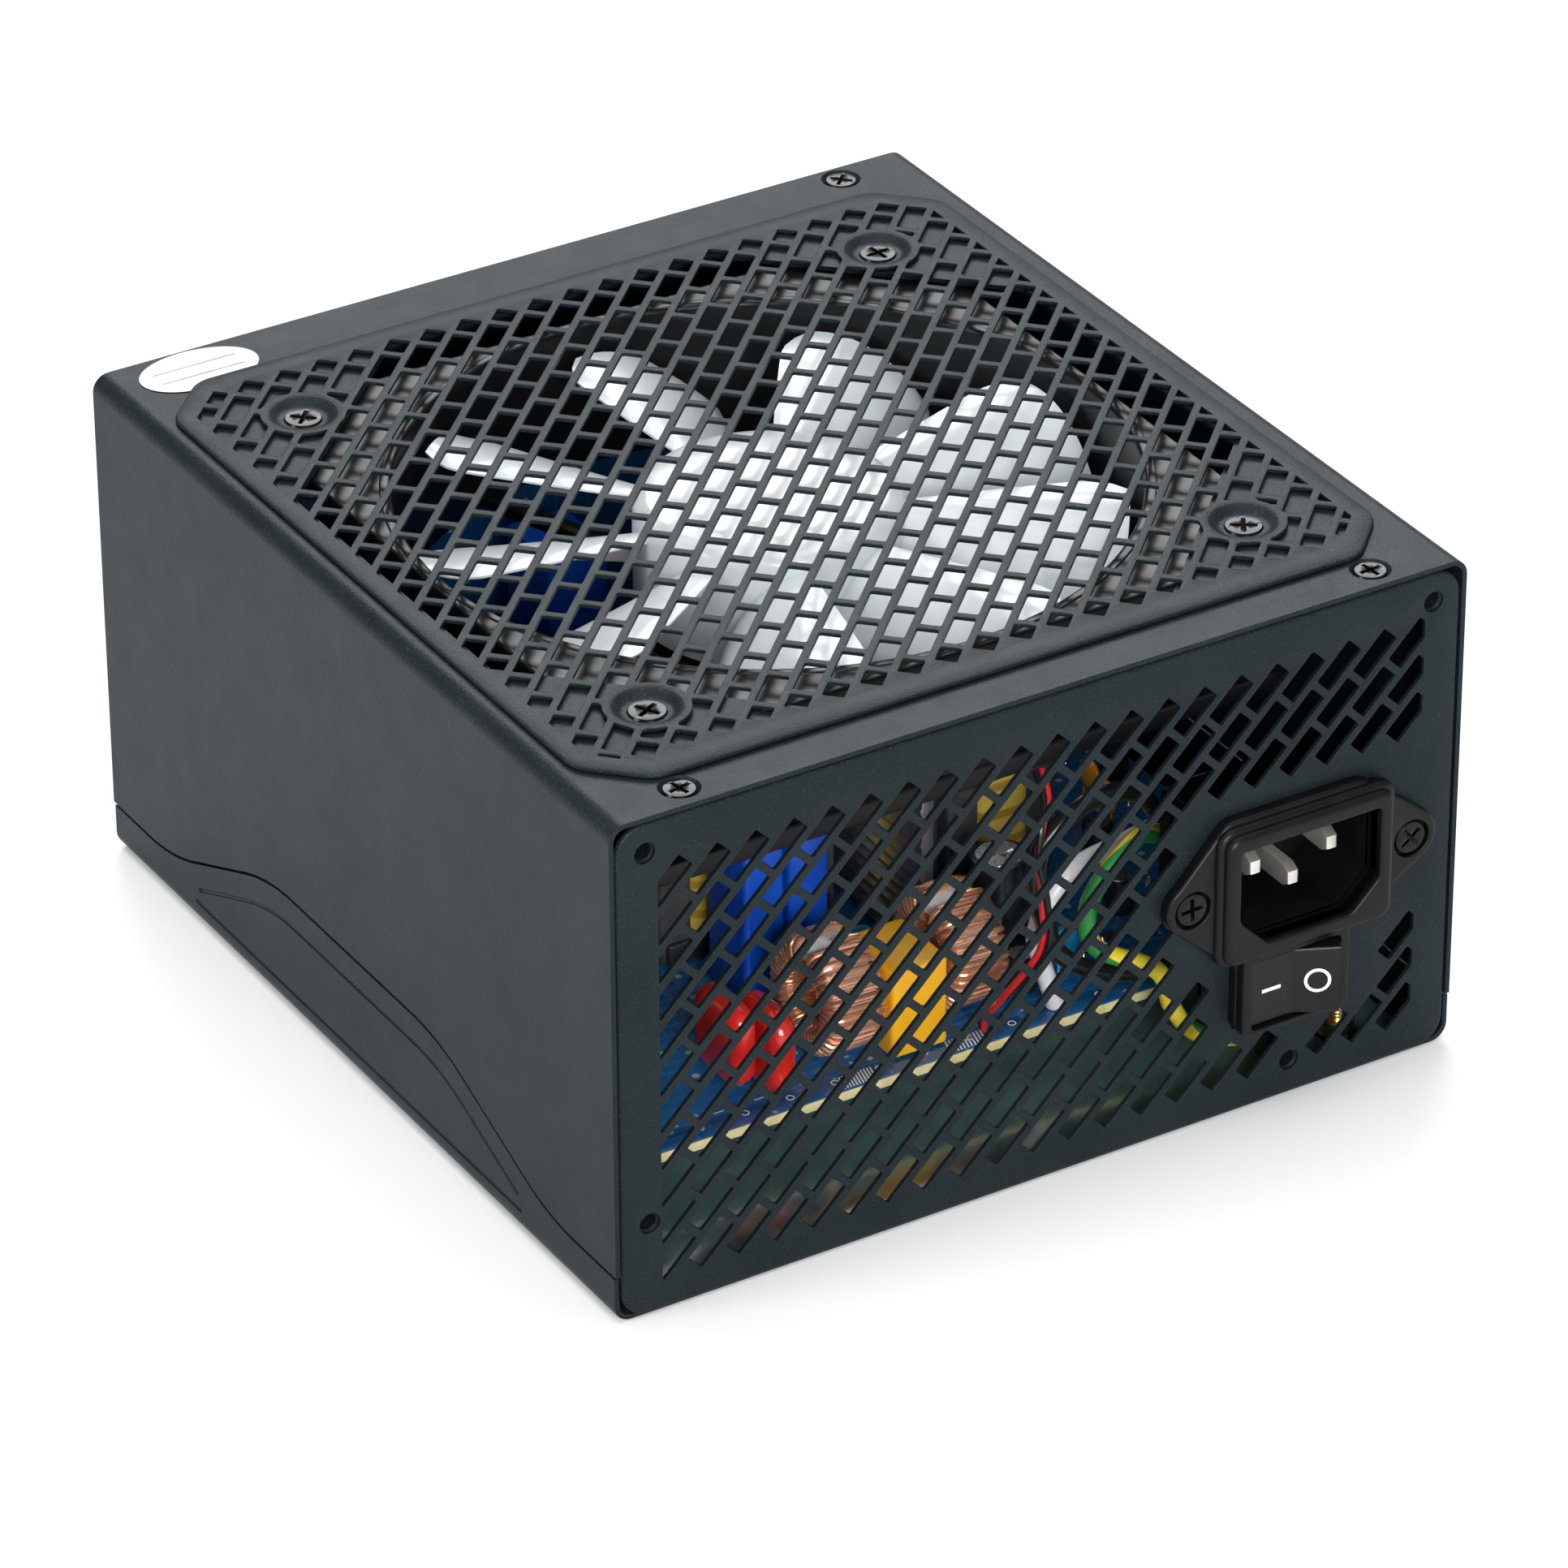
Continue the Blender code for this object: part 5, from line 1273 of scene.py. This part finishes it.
def mains_parts():
    toroid("input_choke_near", "input_choke_left", "X", 18, 0.6)
    toroid("input_choke_far", "input_choke_right", "X", 18, 0.6)
    for name in ("film_capacitor_left", "film_capacitor_right"):
        x, y, z = span(name)
        lozenge = rounded(*y, *z, 4.2, 8)
        part = plate(lozenge, [], x[0], x[1], "right", edge=2.1, back_edge=2.1, steps=6)
        piece(f"dipped_{name}", part, "red_epoxy", [name])
    for node, finish_name in (("x_capacitor", "yellow_plastic"), ("box_capacitor_left", "blue_plastic"),
                              ("box_capacitor_right", "blue_plastic"), ("inductor_box", "blue_plastic")):
        x, y, z = span(node)
        shell = block(x, y, z, 0.5, 0.9)
        feet = [block((x[0] + 0.4, x[1] - 0.4), (at, at + 1.2), (z[0], z[0] + 0.6), 0.1, 0.2)
                for at in (y[0] + 0.8, y[1] - 2.0)]
        piece(f"moulded_{node}", merged(shell, *feet), finish_name, [node])
    for node in ("bulk_capacitor", "standby_capacitor"):
        can(f"can_{node}", node)
    for index in range(1, 4):
        can(f"can_output_{index}", f"output_capacitor_{index}")
    toroid("output_choke_ring", "output_choke", "Z", 16, 0.6)


def heatsink(name, node, flange_along_x):
    """An upright finned plate with its flange along the top."""
    x, y, z = span(node)
    flange, tooth = 2.5, 0.35
    if flange_along_x:
        face, reach, low, high, facing = (x[0], x[0] + flange), x, -y[1], -y[0], "rear"
    else:
        face, reach, low, high, facing = (y[1] - flange, y[1]), y, x[0], x[1], "right"
    under = z[1] - flange
    count = 14
    pitch = (under - z[0]) / count
    fins = []
    for k in range(count):
        at = z[0] + pitch * k
        fins += [(face[0], at), (face[0] + tooth, at + pitch * 0.35), (face[0] + tooth, at + pitch * 0.65)]
    fins += [(face[0], under), (face[1], under), (face[1], z[0])]
    top = [(reach[0], under), (reach[1], under), (reach[1], z[1]), (reach[0], z[1])]
    parts = [plate(outline, [], low, high, facing, edge=0.15, back_edge=0.15) for outline in (fins, top)]
    piece(name, merged(*parts), "aluminium", [node])


def transformer(name, node):
    """Two ferrite halves round a taped winding on its bobbin."""
    x, y, z = span(node)
    bulge, inset = 1.5, 5.0
    y_core = (y[0] + bulge, y[1] - bulge)
    halves = [
        block((x[0], x[0] + inset + 1.5), y_core, (z[0], z[1]), 0.5, 0.8),
        block((x[1] - inset - 1.5, x[1]), y_core, (z[0], z[1]), 0.5, 0.8),
        block((x[0] + inset, x[1] - inset), y_core, (z[1] - 4.4, z[1] - 0.2), 0.4, 0.6),
    ]
    piece(f"{name}_core", merged(*halves), "ferrite", [node])
    winding = block((x[0] + inset, x[1] - inset), y, (z[0] + 4.0, z[1] - 4.0), 1.2, 3.0, 4)
    piece(f"{name}_winding", winding, "transformer")
    bobbin = block((x[0] + 1.0, x[1] - 1.0), (y[0] + 0.6, y[1] - 0.6), (z[0], z[0] + 3.6), 0.3, 0.8)
    piece(f"{name}_bobbin", bobbin, "chip_black")


def power_parts():
    heatsink("sink_primary", "primary_heatsink", True)
    heatsink("sink_secondary", "secondary_heatsink", False)
    transformer("transformer_main", "main_transformer")
    transformer("transformer_standby", "standby_transformer")
    x, y, z = span("bridge_rectifier")
    slab = block(x, y, z, 0.3, 0.5)
    legs = [tube([(middle(x), at, z[0]), (middle(x), at, BOARD_Z[1])], 0.5, 8)
            for at in (y[0] + 2.5, y[0] + 7.5, y[0] + 12.5, y[0] + 17.5)]
    piece("rectifier_body", slab, "chip_black", ["bridge_rectifier"])
    piece("rectifier_legs", merged(*legs), "solder")


def sockets():
    """Output sockets: rows of square cells with a pin in each."""
    pitch, cell, depth = 4.2, 3.3, 11.0
    for name in OUTPUT_SOCKETS:
        x, y, z = span(name)
        columns = int((x[1] - x[0] - 1.5) / pitch)
        cells, contacts = [], []
        for row in (-0.5, 0.5):
            for k in range(columns):
                u = middle(x) + (k - (columns - 1) / 2) * pitch
                v = middle(z) + row * pitch
                corner = 0.9 if (k + int(row + 0.5)) % 2 else 0.3
                cells.append(rounded(u - cell / 2, u + cell / 2, v - cell / 2, v + cell / 2, corner, 3))
                contacts.append(block((u - 0.55, u + 0.55), (y[1] - depth, y[1] - 2.2), (v - 0.55, v + 0.55),
                                      0.15, 0.2, 1))
        outline = rounded(*x, *z, 0.8, 4)
        mouth = plate(outline, cells, y[1] - depth + 0.5, y[1], "front", edge=0.35, hole_edge=0.2, steps=3)
        rear = plate(outline, [], y[0], y[1] - depth + 0.6, "front", edge=0.1)
        latch = block((middle(x) - 2.2, middle(x) + 2.2), (y[1] - 4.0, y[1] - 0.4), (z[1] - 0.6, z[1] - 0.02),
                      0.1, 0.3)
        piece(f"{name}_body", merged(mouth, rear, latch), "socket_plastic", [name])
        piece(f"{name}_contacts", merged(*contacts), "pin_metal")
    x, y, z = span("output_board")
    piece("riser_board", plate(rounded(*x, *z, 1.0, 4), [], y[0], y[1], "front", edge=0.08), "board_blue",
          ["output_board"])


def films_and_posts():
    x, y, z = span("air_baffle")
    piece("baffle_film", plate(rounded(*x, *y, 2.0, 6), [], *z, edge=0.05), "clear_film", ["air_baffle"])
    x, y, z = span("insulating_sheet")
    standing = [f"board_post_{index}" for index in range(1, 5)] + ["earth_screw"]
    holes = [circle(*upright(node)[:2], 3.4, 24) for node in standing]
    film = plate(rounded(*x, *y, 1.5, 4), holes, *z, edge=0.05, hole_edge=0.02)
    # Clear insulating film given an opaque dark teal colour: painted reflection
    piece("base_film", film, "base_film_painted_reflection", ["insulating_sheet"])
    for index in range(1, 5):
        node = f"board_post_{index}"
        _, y, z = span(node)
        cx, cy, _ = upright(node)
        hexagon = circle(cx, cy, (y[1] - y[0]) / 2 / cos(pi / 6), 6)
        stand = plate(hexagon, [circle(cx, cy, 1.4, 20)], *z, edge=0.3, back_edge=0.3, hole_edge=0.2)
        piece(f"standoff_{index}", stand, "brass", [node])
    z = span("earth_screw")[2]
    thread = [(0, z[0]), (3.0, z[0]), (3.0, 4.2), (2.8, 4.4), (1.6, 4.4)]
    pitch = 0.6
    while thread[-1][1] + pitch < z[1] - 0.2:
        thread += [(1.6, thread[-1][1] + pitch / 2), (1.3, thread[-1][1] + pitch)]
    thread += [(1.1, z[1]), (0, z[1])]
    piece("earth_stud", revolved(thread, upright("earth_screw"), steps=32), "brass", ["earth_screw"])


def leads():
    piece("lead_live", tube(eased(LIVE_ROUTE), MAINS_LEAD_RADIUS, 16), "wire_black", ["live_lead"])
    piece("lead_neutral", tube(eased(NEUTRAL_ROUTE), MAINS_LEAD_RADIUS, 16), "wire_white", ["neutral_lead"])
    course = eased(EARTH_ROUTE)
    piece("lead_earth", tube(course, MAINS_LEAD_RADIUS - 0.03, 20), "wire_green", ["earth_lead"])
    piece("lead_earth_stripe", tube(course, MAINS_LEAD_RADIUS, 20, 0, 9), "wire_yellow")
    course = eased(FAN_ROUTE)
    for k, colour in enumerate(("red", "black")):
        turned = []
        for i, at in enumerate(course):
            angle = pi * k + FAN_STRAND_TWIST * i
            turned.append(at + FAN_STRAND_RADIUS * Vector((cos(angle), sin(angle), 0)))
        nodes = ["fan_lead"] if k == 0 else []
        piece(f"fan_strand_{colour}", tube(turned, FAN_STRAND_RADIUS, 10), f"wire_{colour}", nodes)


# ---------------------------------------------------------------- studio

def area_light(name, place, size, power):
    """A soft rectangular light aimed at the case."""
    data = bpy.data.lights.new(name, "AREA")
    data.shape = "RECTANGLE"
    data.size, data.size_y = size
    data.energy = power
    light = bpy.data.objects.new(name, data)
    light.location = place
    light.rotation_euler = (Vector(LIGHT_AIM) - Vector(place)).to_track_quat("-Z", "Y").to_euler()
    bpy.context.scene.collection.objects.link(light)


def studio():
    """Pale floor, even backdrop, soft lights round the case, and the camera."""
    floor = bpy.data.meshes.new("floor")
    corners = [(u * FLOOR_REACH, v * FLOOR_REACH, 0) for u, v in ((-1, -1), (1, -1), (1, 1), (-1, 1))]
    floor.from_pydata(corners, [], [(0, 1, 2, 3)])
    floor.materials.append(finish("floor"))
    ground = bpy.data.objects.new("floor", floor)
    ground.location.z = -FLOOR_DROP
    bpy.context.scene.collection.objects.link(ground)
    world = bpy.data.worlds.new("studio")
    world.use_nodes = True
    backdrop = world.node_tree.nodes["Background"]
    backdrop.inputs["Color"].default_value = (1.0, 1.0, 1.0, 1.0)
    backdrop.inputs["Strength"].default_value = WORLD_STRENGTH
    bpy.context.scene.world = world
    for name, place, size, power in LIGHTS:
        area_light(name, place, size, power)
    data = bpy.data.cameras.new("camera")
    data.lens = CAMERA_LENS
    data.sensor_width = SENSOR
    data.clip_end = 20.0
    camera = bpy.data.objects.new("camera", data)
    camera.location = CAMERA_PLACE
    facing = Vector(CAMERA_TOWARDS).to_track_quat("-Z", "Y").to_matrix().to_4x4()
    camera.rotation_euler = (facing @ Matrix.Rotation(radians(CAMERA_ROLL), 4, "Z")).to_euler()
    bpy.context.scene.collection.objects.link(camera)
    bpy.context.scene.camera = camera
    bpy.context.scene.view_settings.view_transform = "Standard"


cover()
tray()
rear_panel()
front_panel()
grille()
screws()
sticker()
inlet()
pins()
rocker()
fan_housing()
impeller()
fan_motor()
board()
small_parts()
mains_parts()
power_parts()
sockets()
films_and_posts()
leads()
studio()
